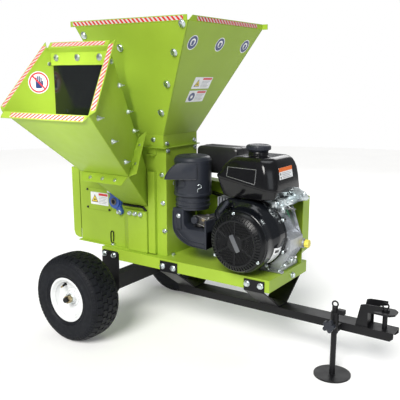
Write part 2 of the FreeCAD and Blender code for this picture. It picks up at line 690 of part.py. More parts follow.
def hopper_wall(first, second, inset, hem_start, hem_end, hem_bevel=0):
    """One wall of the hopper with its upright hem; the insets shorten them between their neighbours."""
    low, high = hopper_ring()
    along = (high[second] - high[first]).normalize()
    corners = [low[first] + along * inset, low[second] - along * inset, high[second] - along * inset,
               high[first] + along * inset]
    wall = sheet_panel([corners[0], corners[3], corners[2], corners[1]], S.sheet_steel)
    rise = Vector(0, 0, float(S.hem_height))
    bevel = along * hem_bevel
    start, end = high[first] + along * hem_start, high[second] - along * hem_end
    sink = Vector(0, 0, -2)
    hem = sheet_panel([start + sink, start + rise + bevel, end + rise, end + sink], S.sheet_steel)
    return wall.fuse(hem).removeSplitter()


def make_hopper():
    cheeks = [hopper_wall(0, 1, 0, -21, 4), hopper_wall(2, 3, 0, -21, 4)]
    ends = [hopper_wall(1, 2, 4, 4, 4, 24), hopper_wall(3, 0, 4, 4, 4, 24)]
    subpart("hopper_cheeks", feature("hopper_cheek_pair", Part.makeCompound(cheeks)))
    subpart("hopper_ends", feature("hopper_end_pair", Part.makeCompound(ends)))

    wall = 3
    low, top = S.column_top, S.neck_top
    outer = box("collar_outside", (S.column_rear, S.neck_near, low), (S.neck_front, S.neck_far, top))
    rim = box("collar_flange", (S.column_rear - 10, S.neck_near - 8, low), (S.neck_front + 10, S.neck_far + 8, low + 3))
    inner = box("collar_inside", (S.column_rear + wall, S.neck_near + wall, low - 5),
                (S.neck_front - wall, S.neck_far - wall, top + 5))
    subpart("hopper_collar", cut("collar_cut", join("collar_solid", outer, rim), inner))


def strip_on_edge(start, end, outward, width, thickness, start_cut=0, end_cut=0):
    """A flat strip that stands out from an edge, rooted a little way inside it, with slanted ends."""
    root, far = outward * -2, outward * width
    along = (end - start).normalize()
    return sheet_panel([start + root, start + far + along * start_cut, end + far - along * end_cut, end + root],
                       thickness)


def point(corner):
    return Vector(*[float(amount) for amount in corner])


def mouth_frame(part):
    """Corners of the chute at one section, up its front, and inward from its left and right edges."""
    fl, fr = point(chute_corner(part, "floor", -1)), point(chute_corner(part, "floor", 1))
    rl, rr = point(chute_corner(part, "roof", -1)), point(chute_corner(part, "roof", 1))
    up = ((rl + rr) - (fl + fr)).normalize()
    across = Vector(1, 0, 0)
    facing = across.cross(up)
    left = (rl - fl).normalize().cross(facing)
    right = facing.cross((rr - fr).normalize())
    return fl, fr, rl, rr, up, left, right


def make_chute():
    flange = float(S.flange_part)
    steel = S.sheet_steel
    fl, fr, rl, rr, up, left, right = mouth_frame(1.0)
    gl, gr, tl, tr = [point(chute_corner(flange, level, side)) for level, side in
                      (("floor", -1), ("floor", 1), ("roof", -1), ("roof", 1))]
    lip = float(S.lip_width)
    shy = Vector(4, 0, 0)
    corner_cut, foot_cut, rise = 14, 12, -18
    floor = sheet_panel([gl + shy, fl + shy, fr - shy, gr - shy], steel)
    floor_lip = strip_on_edge(fr - shy, fl + shy, up * -1, lip, steel, corner_cut, 0)
    roof = sheet_panel([tl + shy, tr - shy, rr - shy, rl + shy], steel)
    roof_lip = strip_on_edge(rl + shy * 1.5, rr - shy * 1.5, up, lip, steel)
    subpart("chute_floor", feature("chute_floor_sheet", floor.fuse(floor_lip).removeSplitter()))
    subpart("chute_roof", feature("chute_roof_sheet", roof.fuse(roof_lip).removeSplitter()))
    left_wall = sheet_panel([gl, tl, rl, fl], steel).fuse(
        strip_on_edge(rl, fl, left * -1, lip, steel, rise, foot_cut))
    right_wall = sheet_panel([gr, fr, rr, tr], steel).fuse(
        strip_on_edge(fr, rr, right * -1, lip, steel, foot_cut, rise))
    subpart("chute_sides", feature("chute_side_pair", Part.makeCompound(
        [left_wall.removeSplitter(), right_wall.removeSplitter()])))


def make_throat():
    """The short funnel between the near plate and the chute's flange."""
    flange = float(S.flange_part) - 0.004
    steel = S.sheet_steel
    floor_part = float(S.apex_y - S.near_face) / float(S.floor_run)
    roof_part = float(S.apex_y - S.near_face) / float(S.roof_run)
    bl, br = [point(chute_corner(floor_part, "floor", side)) for side in (-1, 1)]
    cl, cr = [point(chute_corner(roof_part, "roof", side)) for side in (-1, 1)]
    fl, fr, rl, rr, up, left, right = mouth_frame(flange)
    shy = Vector(4, 0, 0)
    width, tail = float(S.flange_width), -float(S.flange_tail)
    floor_cut, side_cut, side_width = 15, 9, width - 4
    floor = sheet_panel([bl + shy, fl + shy, fr - shy, br - shy], steel).fuse(
        strip_on_edge(fr - shy, fl + shy, up * -1, width, steel, floor_cut, floor_cut))
    roof = sheet_panel([cl + shy, cr - shy, rr - shy, rl + shy], steel).fuse(
        strip_on_edge(rl + shy, rr - shy, up, width - 10, steel))
    left_wall = sheet_panel([bl, cl, rl, fl], steel).fuse(
        strip_on_edge(rl, fl, left * -1, side_width, steel, tail, side_cut))
    right_wall = sheet_panel([br, fr, rr, cr], steel).fuse(
        strip_on_edge(fr, rr, right * -1, side_width, steel, side_cut, tail))
    subpart("chute_throat", feature("throat_sheets", Part.makeCompound(
        [piece.removeSplitter() for piece in (floor, roof, left_wall, right_wall)])))


def make_curtain():
    face, hinge = S.curtain_y, S.curtain_z
    half, clamp_half, clamp_top = 117, 128, 1045
    subpart("curtain_clamp", box("clamp_strip", (S.chute_x - clamp_half, face - 3, hinge + 1),
                                 (S.chute_x + clamp_half, face, clamp_top)))
    subpart("rubber_curtain", box("curtain_sheet", (S.chute_x - half, face - 4, 770),
                                  (S.chute_x + half, face, hinge)))


# --- engine -------------------------------------------------------------------------------------

def make_engine_block():
    x, z = S.crank_x, S.crank_z
    bore = ((x, z), S.crank_radius + S.hub_play)
    case_shape = [(530, 321), (700, 321), (718, 360), (738, 392), (738, 430), (706, 450), (678, 500),
                  (678, 520), (530, 520)]
    case = plate("crankcase", "XZ", [case_shape, bore], -50, 44)
    cover = plate("crankcase_cover", "XZ", [((x, z), 100), bore], 44, 72)
    foot = box("engine_foot", (515, -55, S.deck_top), (700, 90, 322))
    barrel = box("cylinder_core", (440, -30, 408), (531, 50, 532))
    fins = [box("fin_%d" % index, (442 + 12 * index, -44, 395), (446 + 12 * index, 64, 545)) for index in range(7)]
    boss = rod("filler_boss", "X", (690, 58, 396), 15, 52)
    pivot = rod("governor_boss", "Y", (726, 40, 422), 7, 7.6)
    solid = join("engine_solid", case, cover, foot, barrel, boss, pivot, *fins)
    hole = rod("filler_hole", "X", (704, 58, 396), 9, 60)
    subpart("engine_block", cut("engine_casting", solid, hole))


def make_crank():
    x, z = S.crank_x, S.crank_z
    start = -150
    subpart("crankshaft", rod("crank_bar", "Y", (x, start, z), S.crank_radius, S.guard_far - 5 - start))
    disc = turned("fan_disc", "Y", (x, 0, z), [(-118, S.crank_radius), (-104, S.crank_radius), (-104, 92), (-118, 92)])
    vanes = []
    for index in range(10):
        vane = doc.addObject("Part::Box", "vane_%d" % index)
        vane.Length, vane.Width, vane.Height = 38, 26, 4
        turn = Rotation(Vector(0, 1, 0), 36 * index)
        corner = turn.multVec(Vector(50, 0, -2))
        vanes.append(place(vane, (x + corner.x, -143, z + corner.z), turn))
    subpart("flywheel_fan", join("fan_solid", disc, *vanes))


def make_shroud():
    x, z, near = S.crank_x, S.crank_z, S.drum_near
    wall = 3

    def hull(name, inset, first, last):
        drum = rod(name + "_drum", "Y", (x, first, z), S.drum_radius - inset, last - first)
        wide = rod(name + "_wide", "Y", (x, -98 + inset, z), 126 - inset, last + 98 - inset)
        keep = box(name + "_keep", (x - 60, -98 + inset, 398), (x + 140, last, 600))
        bulge = doc.addObject("Part::Common", name + "_bulge")
        bulge.Base = wide
        bulge.Tool = keep
        left, right, top = 455 + inset, 650 - inset, 560 - inset
        wing = [(left, 462), (left, 490 - inset), (530, top), (right, top), (right, 500), (560, 500), (520, 462)]
        duct = plate(name + "_duct", "XZ", [wing], -100 + inset, last)
        return join(name, drum, bulge, duct)

    outside = hull("shroud_outside", as_size(0), near, as_size(-52))
    inside = hull("shroud_inside", as_size(wall), near + wall, as_size(-51))
    eye = rod("shroud_eye", "Y", (x, near - 5, z), 70, 20)
    shell = cut("shroud_shell", cut("shroud_hollow", outside, inside), eye)
    guide = box("grip_guide", (535, -150, 530), (552, -100, 552))
    rope_hole = rod("grip_guide_hole", "Y", (543, -175, 541), 3, 90)
    subpart("blower_shroud", cut("shroud_with_guide", join("shroud_solid", shell, guide), rope_hole))

    cover = [(S.cover_near + 3, 0), (S.cover_near + 3, 74), (-182, 90), (near - 0.3, 101), (near - 0.3, 104.5),
             (-184, 94), (S.cover_near, 78), (S.cover_near, 0)]
    subpart("recoil_cover", turned("recoil_dome", "Y", (x, 0, z), cover))

    grip = doc.addObject("Part::Cylinder", "grip_bar")
    grip.Radius = 8
    grip.Height = 56
    tilt = Rotation(Vector(0, 1, 0), 38)
    corner = tilt.multVec(Vector(0, 0, -28))
    place(grip, (543 + corner.x, -162, 541 + corner.z), tilt)
    rope = rod("grip_rope", "Y", (543, -160, 541), 2, 58)
    subpart("starter_grip", join("grip_with_rope", grip, rope))

    subpart("engine_switch", box("switch_rocker", (562, -108.4, 540), (582, -101.9, 552)))


def make_tank():
    low, top = S.tank_low, S.tank_top
    shape = [(500, low), (S.tank_rear, low + 36), (S.tank_rear, top - 52), (502, top - 6), (520, top),
             (S.tank_front - 36, top), (S.tank_front - 4, top - 16), (S.tank_front, low + 34),
             (S.tank_front - 14, low)]
    shell = plate("tank_shell", "XZ", [shape], S.tank_near, S.tank_far)
    neck = rod("tank_neck", "Z", (S.cap_x, S.cap_y, top - 1), 33, 14)
    subpart("fuel_tank", join("tank_solid", shell, neck))
    cap = [(S.tank_top + 13.4, 0), (S.tank_top + 13.4, S.cap_radius - 8), (S.tank_top + 18, S.cap_radius - 6),
           (S.tank_top + 21, S.cap_radius), (S.tank_top + 33, S.cap_radius), (S.tank_top + 37, S.cap_radius - 5),
           (S.tank_top + 37, 0)]
    subpart("fuel_cap", turned("cap_turned", "Z", (S.cap_x, S.cap_y, 0), cap))


def make_breathing():
    low, high = 612, 712
    shape = [(288, low + 16), (300, low), (456, low), (468, low + 16), (468, high - 12), (456, high),
             (300, high), (288, high - 12)]
    can = plate("muffler_can", "XZ", [shape], 45, 140)
    inner = [(across + (3 if across < 378 else -3), up + (3 if up < 660 else -3)) for across, up in shape]
    hollow = plate("muffler_inside", "XZ", [inner], 48, 137)
    pipe = rod("exhaust_pipe", "Z", (455, 58, 545), 13, low - 543)
    subpart("muffler", join("muffler_solid", cut("muffler_shell", can, hollow), pipe))

    x, y, radius = S.canister_x, S.canister_y, S.canister_radius
    body = turned("canister_body", "Z", (x, y, 0), [(545, 0), (545, radius - 2), (552, radius), (676, radius),
                                                  (688, radius - 8), (690, radius - 14), (690, 0)])
    scoop = [(-13, 614), (100, 614), (86, 640), (70, 660), (56, 670), (-13, 670)]
    snout = place(plate("scoop", "XZ", [scoop], radius - 30, radius + 3), (x, y, 0), Rotation(UP, 213.9))
    subpart("air_cleaner", join("canister_solid", body, snout))

    neck = rod("intake_neck", "Z", (x, y, 498), radius - 8, 47)
    shape = [(298, 500), (298, 432), (316, 398), (356, 374), (446, 366), (446, 431), (360, 431), (348, 443),
             (348, 500)]
    elbow = plate("intake_duct", "XZ", [shape], -112, -46)
    subpart("intake_elbow", join("intake_solid", neck, elbow))

    housing = box("carburettor_body", (362, -92, 438), (440, -52, 480))
    bowl = rod("carburettor_bowl", "Z", (400, -72, 432), 16, 8)
    manifold = box("manifold", (404, -54, 446), (439.7, 20, 476))
    subpart("carburettor", join("carburettor_solid", housing, bowl, manifold))


def make_controls():
    back = box("bracket_back", (610, -50, 521), (712, -47, 565))
    top = box("bracket_top", (610, -50, 562), (712, 36, 565))
    leg = box("bracket_leg", (610, -50, 520), (640, 36, 524))
    post = box("bracket_post", (610, 20, 520), (640, 24, 565))
    rib = box("bracket_rib", (540, -20, 520), (580, 30, 566))
    subpart("control_bracket", group("control_plates", join("bracket_plates", back, top, leg, post), rib))

    pivot_x, pivot_z = 700, 545
    hub = rod("throttle_hub", "Y", (pivot_x, -57, pivot_z), 7, 6.6)
    blade = box("throttle_blade", (pivot_x, -56, pivot_z - 4), (pivot_x + 34, -53, pivot_z + 4))
    subpart("throttle_lever", join("throttle_solid", hub, blade))

    arm = [(720, 414), (733, 424), (696, 523), (686, 519)]
    strip = plate("governor_strip", "XZ", [arm], 48, 51)
    hub = rod("governor_hub", "Y", (726, 48, 422), 8, 4)
    subpart("governor_arm", join("governor_solid", strip, hub))

    cap = rod("dipstick_cap", "X", (742.4, 58, 396), 15, 16)
    stick = rod("dipstick_rod", "X", (706, 58, 396), 5, 40)
    subpart("dipstick", join("dipstick_solid", cap, stick))


# --- fasteners ----------------------------------------------------------------------------------

def bolt_solid(at, outward, radius, height, shank):
    head = Part.makeCylinder(radius, height, at, outward)
    washer = Part.makeCylinder(radius * 1.25, 1.5, at, outward)
    stem = Part.makeCylinder(radius * 0.5, shank, at - outward * shank, outward)
    return head.multiFuse([washer, stem]).removeSplitter()


def panel_spot(first, second, low, high, rise, inset):
    """A spot on a hopper wall, part of the way up and some way in from one of its upright edges."""
    edge = low[first] + (high[first] - low[first]) * rise
    other = low[second] + (high[second] - low[second]) * rise
    return edge + (other - edge).normalize() * inset


def chute_spot(side, part, up):
    """A spot on a side wall of the chute: part of the way to the mouth, and up from floor to roof."""
    low, high = point(chute_corner(part, "floor", side)), point(chute_corner(part, "roof", side))
    return low + (high - low) * up


def chute_side_normal(side):
    """The direction out of one side wall of the chute."""
    low, high = chute_spot(side, 1.0, 0), chute_spot(side, 1.0, 1)
    normal = (high - low).cross(chute_spot(side, 0.5, 0) - low).normalize()
    return normal if normal.x * side > 0 else normal * -1


def frame_bolts():
    """Bolts of the saddles and of the deck's front edge."""
    radius, height = float(S.bolt_radius), float(S.bolt_height)
    ear = float(S.deck_half + S.plate_steel)
    solids = [bolt_solid(Vector(float(S.deck_front), 24, 284), Vector(1, 0, 0), radius, height, 10)]
    for sign in (-1, 1):
        for x, z in ((-21, 283), (28, 283), (268, 282), (317, 282), (628, 286), (680, 286)):
            solids.append(bolt_solid(Vector(x, sign * ear, z), Vector(0, sign, 0), radius, height, 10))
    return solids


def housing_bolts():
    """Bolts of the side plate, the anvil cover, the bearings, the base rail and the feed column."""
    radius, height = float(S.small_bolt), float(S.bolt_height)
    near, deck = float(S.near_face), float(S.deck_top)
    solids = [bolt_solid(Vector(x, near, z), Vector(0, -1, 0), radius, height, 10)
              for x, z in ((241, 615), (251, 405), (245, 510))]
    for x in (102, 128, 154):
        solids.append(bolt_solid(Vector(x, near - 21, 459), Vector(0, -1, 0), radius, 2 * height, 6))
    lean = math.radians(-60)
    for face, out in ((near - 12, -1), (float(S.far_face) + 12, 1)):
        for reach in (-45, 45):
            at = Vector(float(S.rotor_x) + reach * math.cos(lean), face, float(S.rotor_z) + reach * math.sin(lean))
            solids.append(bolt_solid(at, Vector(0, out, 0), radius, height, 16))
    for x in (-4, 150):
        solids.append(bolt_solid(Vector(x, near - 9, deck + 4), UP, radius, height, 8))
    for y in (-82, 70):
        solids.append(bolt_solid(Vector(float(S.case_front) + 10, y, deck), UP, radius, height, 8))
    for y in (-98, 72):
        solids.append(bolt_solid(Vector(float(S.neck_front), y, 729), Vector(1, 0, 0), radius, height, 6))
        solids.append(bolt_solid(Vector(float(S.case_front), y, 703), Vector(1, 0, 0), radius, height, 6))
    solids.append(bolt_solid(Vector(210, float(S.neck_near), 743), Vector(0, -1, 0), radius, height, 6))
    return solids


def hopper_bolts():
    radius, height = float(S.hopper_bolt), float(S.bolt_height)
    low, high = hopper_ring()
    solids = []
    for front, rear, out in ((1, 0, -1), (2, 3, 1)):
        outward = (high[front] - low[front]).cross(high[rear] - high[front]).normalize()
        if outward.y * out < 0:
            outward = outward * -1
        for rise, inset in ((0.22, 30), (0.481, 30), (0.748, 27), (0.975, 19)):
            solids.append(bolt_solid(panel_spot(front, rear, low, high, rise, inset), outward, radius, height, 4))
        for rise, inset in ((0.3, 28), (0.6, 26), (0.919, 21), (0.8, 157)):
            solids.append(bolt_solid(panel_spot(rear, front, low, high, rise, inset), outward, radius, height, 4))
    return solids


def chute_bolts():
    """Bolts of the curtain's clamp and of the chute's lips, and rivets on the throat's flange."""
    small, height = float(S.small_bolt), float(S.bolt_height)
    clamp_face = float(S.curtain_y) - 3
    solids = [bolt_solid(Vector(x, clamp_face, 1028), Vector(0, -1, 0), 9, height, 3) for x in (10, 109, 208)]
    solids.append(bolt_solid(chute_spot(1, 0.954, 0.93), chute_side_normal(1), small, height, 3))
    for part, up in ((0.955, 0.9), (0.94, 0.115)):
        solids.append(bolt_solid(chute_spot(-1, part, up), chute_side_normal(-1) * -1, small, height - 2, 3))
    fl, fr, rl, rr, up, left, right = mouth_frame(float(S.flange_part) - 0.004)
    facing = Vector(1, 0, 0).cross(up)
    if facing.y > 0:
        facing = facing * -1
    middle = float(S.flange_width) * 0.5
    row = [fl + (fr - fl) * share - up * middle for share in (0.24, 0.5, 0.76)]
    row += [fr + (rr - fr) * share - right * (middle - 2) for share in (0.33, 0.83)]
    row += [fl + (rl - fl) * share - left * (middle - 2) for share in (0.33, 0.83)]
    solids += [bolt_solid(at, facing, small * 0.8, height * 0.5, 2) for at in row]
    return solids


def make_bolts():
    solids = frame_bolts() + housing_bolts() + hopper_bolts() + chute_bolts()
    subpart("bolts", feature("bolt_group", Part.makeCompound(solids)))


def make_wing_nuts():
    span = float(S.wing_span)
    solids = []
    for side in (-1, 1):
        outward = chute_side_normal(side)
        along = (chute_spot(side, 1.0, 0) - chute_spot(side, 0.5, 0)).normalize()
        for part, up in ((0.85, 0.93), (0.725, 0.94), (0.63, 0.94), (0.94, 0.115), (0.788, 0.131), (0.64, 0.154)):
            at = chute_spot(side, part, up)
            hub = Part.makeCylinder(8, 9, at, outward)
            stem = Part.makeCylinder(3.5, 18, at - outward * 4, outward)
            wings = Part.makeCylinder(4.5, span, at + outward * 10 - along * span * 0.5, along)
            solids.append(hub.multiFuse([stem, wings]).removeSplitter())
    subpart("wing_nuts", feature("wing_nut_group", Part.makeCompound(solids)))


make_tow_bar()
make_axle()
make_axle_brackets()
make_saddles()
for side, sign in (("near", -1), ("far", 1)):
    make_wheel(side, sign)
make_wheel_nuts()
make_deck()
make_jack()
make_hitch()
make_near_plate()
make_far_plate()
make_shell()
make_housing_fittings()
make_deflector()
make_bearings()
make_rotor()
make_pulley("rotor_pulley", S.rotor_x, S.rotor_z, S.rotor_pulley_radius, S.shaft_radius)
make_pulley("engine_pulley", S.crank_x, S.crank_z, S.engine_pulley_radius, S.crank_radius)
make_belts()
make_belt_guard()
make_hopper()
make_chute()
make_throat()
make_curtain()
make_engine_block()
make_crank()
make_shroud()
make_tank()
make_breathing()
make_controls()
make_bolts()
make_wing_nuts()
doc.recompute()

broken = [item.Name for item in doc.Objects if "Invalid" in item.State or "Error" in item.State]
if broken:
    raise RuntimeError("objects that failed: " + ", ".join(broken))
os.makedirs("parts", exist_ok=True)
for node, item in nodes.items():
    if item.Shape.isNull() or not item.Shape.isValid():
        raise RuntimeError("bad shape: " + node)
    item.Shape.exportStep("parts/%s.step" % node)
print(len(nodes), "sub-parts")
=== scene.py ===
import json
import math

import bmesh
import bpy
from mathutils import Matrix, Vector


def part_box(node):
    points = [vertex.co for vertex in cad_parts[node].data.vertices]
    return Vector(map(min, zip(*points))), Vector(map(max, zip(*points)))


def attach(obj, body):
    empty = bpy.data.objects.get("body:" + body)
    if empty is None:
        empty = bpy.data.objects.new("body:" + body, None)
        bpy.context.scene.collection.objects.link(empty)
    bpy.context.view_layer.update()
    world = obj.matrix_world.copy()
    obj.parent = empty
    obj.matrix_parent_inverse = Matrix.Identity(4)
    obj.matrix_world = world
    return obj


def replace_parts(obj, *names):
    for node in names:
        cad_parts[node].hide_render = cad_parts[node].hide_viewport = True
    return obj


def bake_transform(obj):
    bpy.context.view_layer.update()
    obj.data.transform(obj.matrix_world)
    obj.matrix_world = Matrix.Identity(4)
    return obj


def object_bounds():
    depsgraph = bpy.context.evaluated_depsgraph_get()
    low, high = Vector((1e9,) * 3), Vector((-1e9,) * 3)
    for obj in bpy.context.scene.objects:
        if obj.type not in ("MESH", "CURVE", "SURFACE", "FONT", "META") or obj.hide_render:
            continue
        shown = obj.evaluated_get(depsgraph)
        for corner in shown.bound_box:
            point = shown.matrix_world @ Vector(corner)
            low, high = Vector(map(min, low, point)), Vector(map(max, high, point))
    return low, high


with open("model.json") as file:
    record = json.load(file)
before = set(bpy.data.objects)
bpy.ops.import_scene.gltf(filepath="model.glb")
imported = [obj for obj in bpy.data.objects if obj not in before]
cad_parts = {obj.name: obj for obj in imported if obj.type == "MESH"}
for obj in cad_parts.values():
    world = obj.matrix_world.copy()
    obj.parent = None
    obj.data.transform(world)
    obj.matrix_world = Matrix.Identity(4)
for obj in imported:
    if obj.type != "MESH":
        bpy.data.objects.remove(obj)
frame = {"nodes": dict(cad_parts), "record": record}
cad_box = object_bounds()

MM = 0.001
NODES = frame["nodes"]


# --- the machine's own axes -----------------------------------------------------------------------

def middle(node):
    """The centre of a CAD node's box in the row frame, in metres."""
    low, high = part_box(node)
    return (low + high) / 2


# Positions are in millimetres from the wheel axle (x), the tow bar's centre line (y) and the
# ground (z); x grows towards the hitch.
START = Vector((middle("rim_near").x, middle("tow_bar").y, 0))


def at(x, y, z):
    """A point of the machine in the row frame, in metres."""
    return START + Vector((x, y, z)) * MM


def span(node):
    """A CAD node's lowest and highest corner in the machine's own millimetres."""
    low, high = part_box(node)
    return (low - START) / MM, (high - START) / MM


def centre_of(node):
    """The centre of a CAD node's box in the machine's own millimetres."""
    low, high = span(node)
    return (low + high) / 2


# --- materials ------------------------------------------------------------------------------------

COAT_ROUGHNESS = 0.08
NOISE_ROUGHNESS = 0.55
EDGE_SAMPLES = 4
EDGE_RANGE = (0.97, 0.75)
PATCH_RANGE = (0.35, 0.65, 0.0, 1.0)
WEAR_RANGE = (0.42, 0.6, 0.15, 1.0)
ROUGH_RANGE = (0.3, 0.7)


class Finish:
    """A principled material that grows out of procedural nodes."""

    def __init__(self, name, base, rough, metal=0.0, coat=0.0, specular=0.5):
        self.material = bpy.data.materials.new(name)
        self.material.use_nodes = True
        self.tree = self.material.node_tree
        self.shader = self.tree.nodes["Principled BSDF"]
        self.feed(self.shader, {"Metallic": metal, "Specular IOR Level": specular,
                                "Coat Weight": coat, "Coat Roughness": COAT_ROUGHNESS})
        self.base, self.rough = base, rough
        self.place = self.make("TexCoord").outputs["Object"]
        self.colour = None
        self.normal = None

    def feed(self, node, inputs):
        """Fills sockets, by name or number, each with an output, a number, a vector or a colour."""
        for key, value in inputs.items():
            socket = node.inputs[key]
            if isinstance(value, bpy.types.NodeSocket):
                self.tree.links.new(value, socket)
            elif socket.type == "RGBA":
                socket.default_value = (*value, 1.0)
            else:
                socket.default_value = value

    def make(self, kind, inputs=None, **settings):
        """A new node with its settings and its inputs."""
        node = self.tree.nodes.new("ShaderNode" + kind)
        for name, value in settings.items():
            setattr(node, name, value)
        self.feed(node, inputs or {})
        return node

    def noise(self, scale, detail=3.0, stretch=None):
        """Noise with about 1 / scale metres between its bumps."""
        source = self.place
        if stretch:
            source = self.make("Mapping", {"Scale": stretch, "Vector": source}).outputs["Vector"]
        inputs = {"Scale": scale, "Detail": detail, "Roughness": NOISE_ROUGHNESS, "Vector": source}
        return self.make("TexNoise", inputs).outputs["Fac"]

    def spread(self, value, low, high, first, last):
        """Takes a value from the range low..high to first..last."""
        inputs = {"From Min": low, "From Max": high, "To Min": first, "To Max": last,
                  "Value": value}
        return self.make("MapRange", inputs).outputs["Result"]

    def maths(self, operation, first, second=None):
        inputs = {0: first} if second is None else {0: first, 1: second}
        return self.make("Math", inputs, operation=operation).outputs["Value"]

    def blend(self, factor, first, second, kind="MIX"):
        """Mixes two colours."""
        node = self.make("Mix", {"Factor": factor}, data_type="RGBA", blend_type=kind)
        colours = [i for i, socket in enumerate(node.inputs) if socket.type == "RGBA"]
        self.feed(node, dict(zip(colours, (first, second))))
        return [socket for socket in node.outputs if socket.type == "RGBA"][0]

    def vary(self, scale, amount):
        """Shifts the colour a little lighter and darker in soft patches."""
        patch = self.spread(self.noise(scale, 4.0), *PATCH_RANGE)
        if self.colour is None:
            dark = tuple(c * (1 - amount) for c in self.base)
            light = tuple(min(1.0, c * (1 + amount)) for c in self.base)
            self.colour = self.blend(patch, dark, light)
        else:
            shade = self.blend(patch, (1 - amount,) * 3, (1.0,) * 3)
            self.colour = self.blend(1.0, self.colour, shade, "MULTIPLY")
        return self

    def edges(self, radius, colour, amount=0.6):
        """Rounds the sharp edges in the light and rubs them to another colour."""
        self.normal = self.make("Bevel", {"Radius": radius}, samples=EDGE_SAMPLES).outputs["Normal"]
        true = self.make("NewGeometry").outputs["Normal"]
        dot = self.make("VectorMath", {0: self.normal, 1: true},
                        operation="DOT_PRODUCT").outputs["Value"]
        wear = self.spread(self.noise(60, 5.0), *WEAR_RANGE)
        worn = self.maths("MULTIPLY", self.spread(dot, *EDGE_RANGE, 0.0, amount), wear)
        self.colour = self.blend(worn, self.colour or self.base, colour)
        return self

    def bumps(self, scale, distance, strength=1.0, detail=2.0, stretch=None):
        """Raises the surface by up to the distance, in metres."""
        inputs = {"Strength": strength, "Distance": distance,
                  "Height": self.noise(scale, detail, stretch)}
        if self.normal is not None:
            inputs["Normal"] = self.normal
        self.normal = self.make("Bump", inputs).outputs["Normal"]
        return self

    def done(self, rough_scale=30, rough_spread=0.08):
        """Ends the material: its colour, an uneven roughness and its bumps go to the shader."""
        low, high = max(0.03, self.rough - rough_spread), min(1.0, self.rough + rough_spread)
        rough = self.spread(self.noise(rough_scale, 4.0), *ROUGH_RANGE, low, high)
        self.feed(self.shader, {"Base Color": self.colour or self.base, "Roughness": rough})
        if self.normal is not None:
            self.feed(self.shader, {"Normal": self.normal})
        return self.material


def powder_coat(name, base, rough, edge, coat=0.25, specular=0.4):
    finish = Finish(name, base, rough, coat=coat, specular=specular)
    finish.vary(4, 0.05).vary(22, 0.025).edges(0.0014, edge, 0.3).bumps(500, 0.00002, 0.3)
    return finish.done(25, 0.05)


def metal(name, base, rough, edge, stretch=None, grain=400):
    finish = Finish(name, base, rough, metal=1.0)
    finish.vary(35, 0.08).vary(160, 0.04).edges(0.0006, edge, 0.3)
    finish.bumps(grain, 0.000012, 0.3, 2.0, stretch)
    return finish.done(60, 0.05)


def plastic(name, base, rough, edge, grain=1400, depth=0.00006, coat=0.0, specular=0.4):
    finish = Finish(name, base, rough, coat=coat, specular=specular)
    finish.vary(12, 0.12).vary(120, 0.08).edges(0.0009, edge, 0.35).bumps(grain, depth, 0.6)
    return finish.done(40, 0.06)


def rubber(name, base, rough):
    finish = Finish(name, base, rough, specular=0.22)
    finish.vary(18, 0.2).vary(150, 0.15).edges(0.001, tuple(c * 2.2 for c in base), 0.4)
    finish.bumps(260, 0.0002, 0.6, 4.0)
    return finish.done(60, 0.1)


def casting(name, base, rough):
    finish = Finish(name, base, rough, metal=0.85)
    finish.vary(14, 0.14).vary(160, 0.1).edges(0.0015, tuple(min(1.0, c * 1.4) for c in base), 0.5)
    finish.bumps(700, 0.00006, 0.5, 3.0)
    return finish.done(70, 0.1)


GRIME = (0.42, 0.36, 0.3)


def striped(name, first, second, pitch):
    """Diagonal warning tape; the pieces carry a map in metres along and across the tape."""
    finish = Finish(name, first, 0.32, coat=0.2)
    place = finish.make("TexCoord").outputs["UV"]
    parts = finish.make("SeparateXYZ", {"Vector": place})
    slant = finish.maths("ADD", parts.outputs["X"], parts.outputs["Y"])
    wave = finish.maths("FRACT", finish.maths("DIVIDE", slant, pitch))
    stripe = finish.spread(finish.maths("PINGPONG", wave, 0.5), 0.215, 0.235, 0.0, 1.0)
    grime = finish.spread(finish.noise(60, 4.0), 0.3, 0.75, 0.0, 0.18)
    finish.colour = finish.blend(grime, finish.blend(stripe, first, second), GRIME)
    finish.bumps(900, 0.00003, 0.4)
    return finish.done(80, 0.08)


def printed(name, colour):
    finish = Finish(name, colour, 0.35, coat=0.15)
    finish.vary(40, 0.05).vary(200, 0.04).bumps(900, 0.00002, 0.4)
    return finish.done(80, 0.07)


lime = powder_coat("lime_powder_coat", (0.312, 0.458, 0.04), 0.4, (0.40, 0.56, 0.08), 0.05, 0.2)
black_frame = powder_coat("black_powder_coat", (0.006, 0.006, 0.007), 0.42, (0.03, 0.03, 0.032),
                          0.0, 0.25)
white_rim = powder_coat("white_rim_paint", (0.70, 0.715, 0.72), 0.3, (0.6, 0.6, 0.58), 0.3)
bearing_blue = powder_coat("blue_bearing_paint", (0.03, 0.1, 0.42), 0.35, (0.1, 0.22, 0.5), 0.3)
engine_black = powder_coat("black_engine_enamel", (0.005, 0.006, 0.008), 0.16, (0.05, 0.055, 0.065),
                           0.3, 0.35)
muffler_black = powder_coat("black_heat_enamel", (0.013, 0.013, 0.015), 0.36, (0.06, 0.06, 0.065),
                            0.2)
tank_black = plastic("black_tank_gloss", (0.005, 0.005, 0.006), 0.17, (0.05, 0.05, 0.055), 500,
                     0.00002, 0.2, 0.3)
plastic_black = plastic("black_moulded_plastic", (0.019, 0.022, 0.031), 0.38, (0.07, 0.075, 0.09))
zinc = metal("zinc_plate", (0.66, 0.72, 0.74), 0.3, (0.9, 0.92, 0.92))
steel = metal("ground_steel", (0.50, 0.50, 0.51), 0.3, (0.75, 0.75, 0.76), (1.0, 14.0, 1.0))
brass = metal("brass_plate", (0.42, 0.34, 0.2), 0.36, (0.6, 0.52, 0.36))
iron = casting("oiled_iron", (0.16, 0.155, 0.15), 0.5)
aluminium = casting("cast_aluminium", (0.44, 0.46, 0.49), 0.4)
tyre_rubber = rubber("tyre_rubber", (0.005, 0.006, 0.009), 0.6)
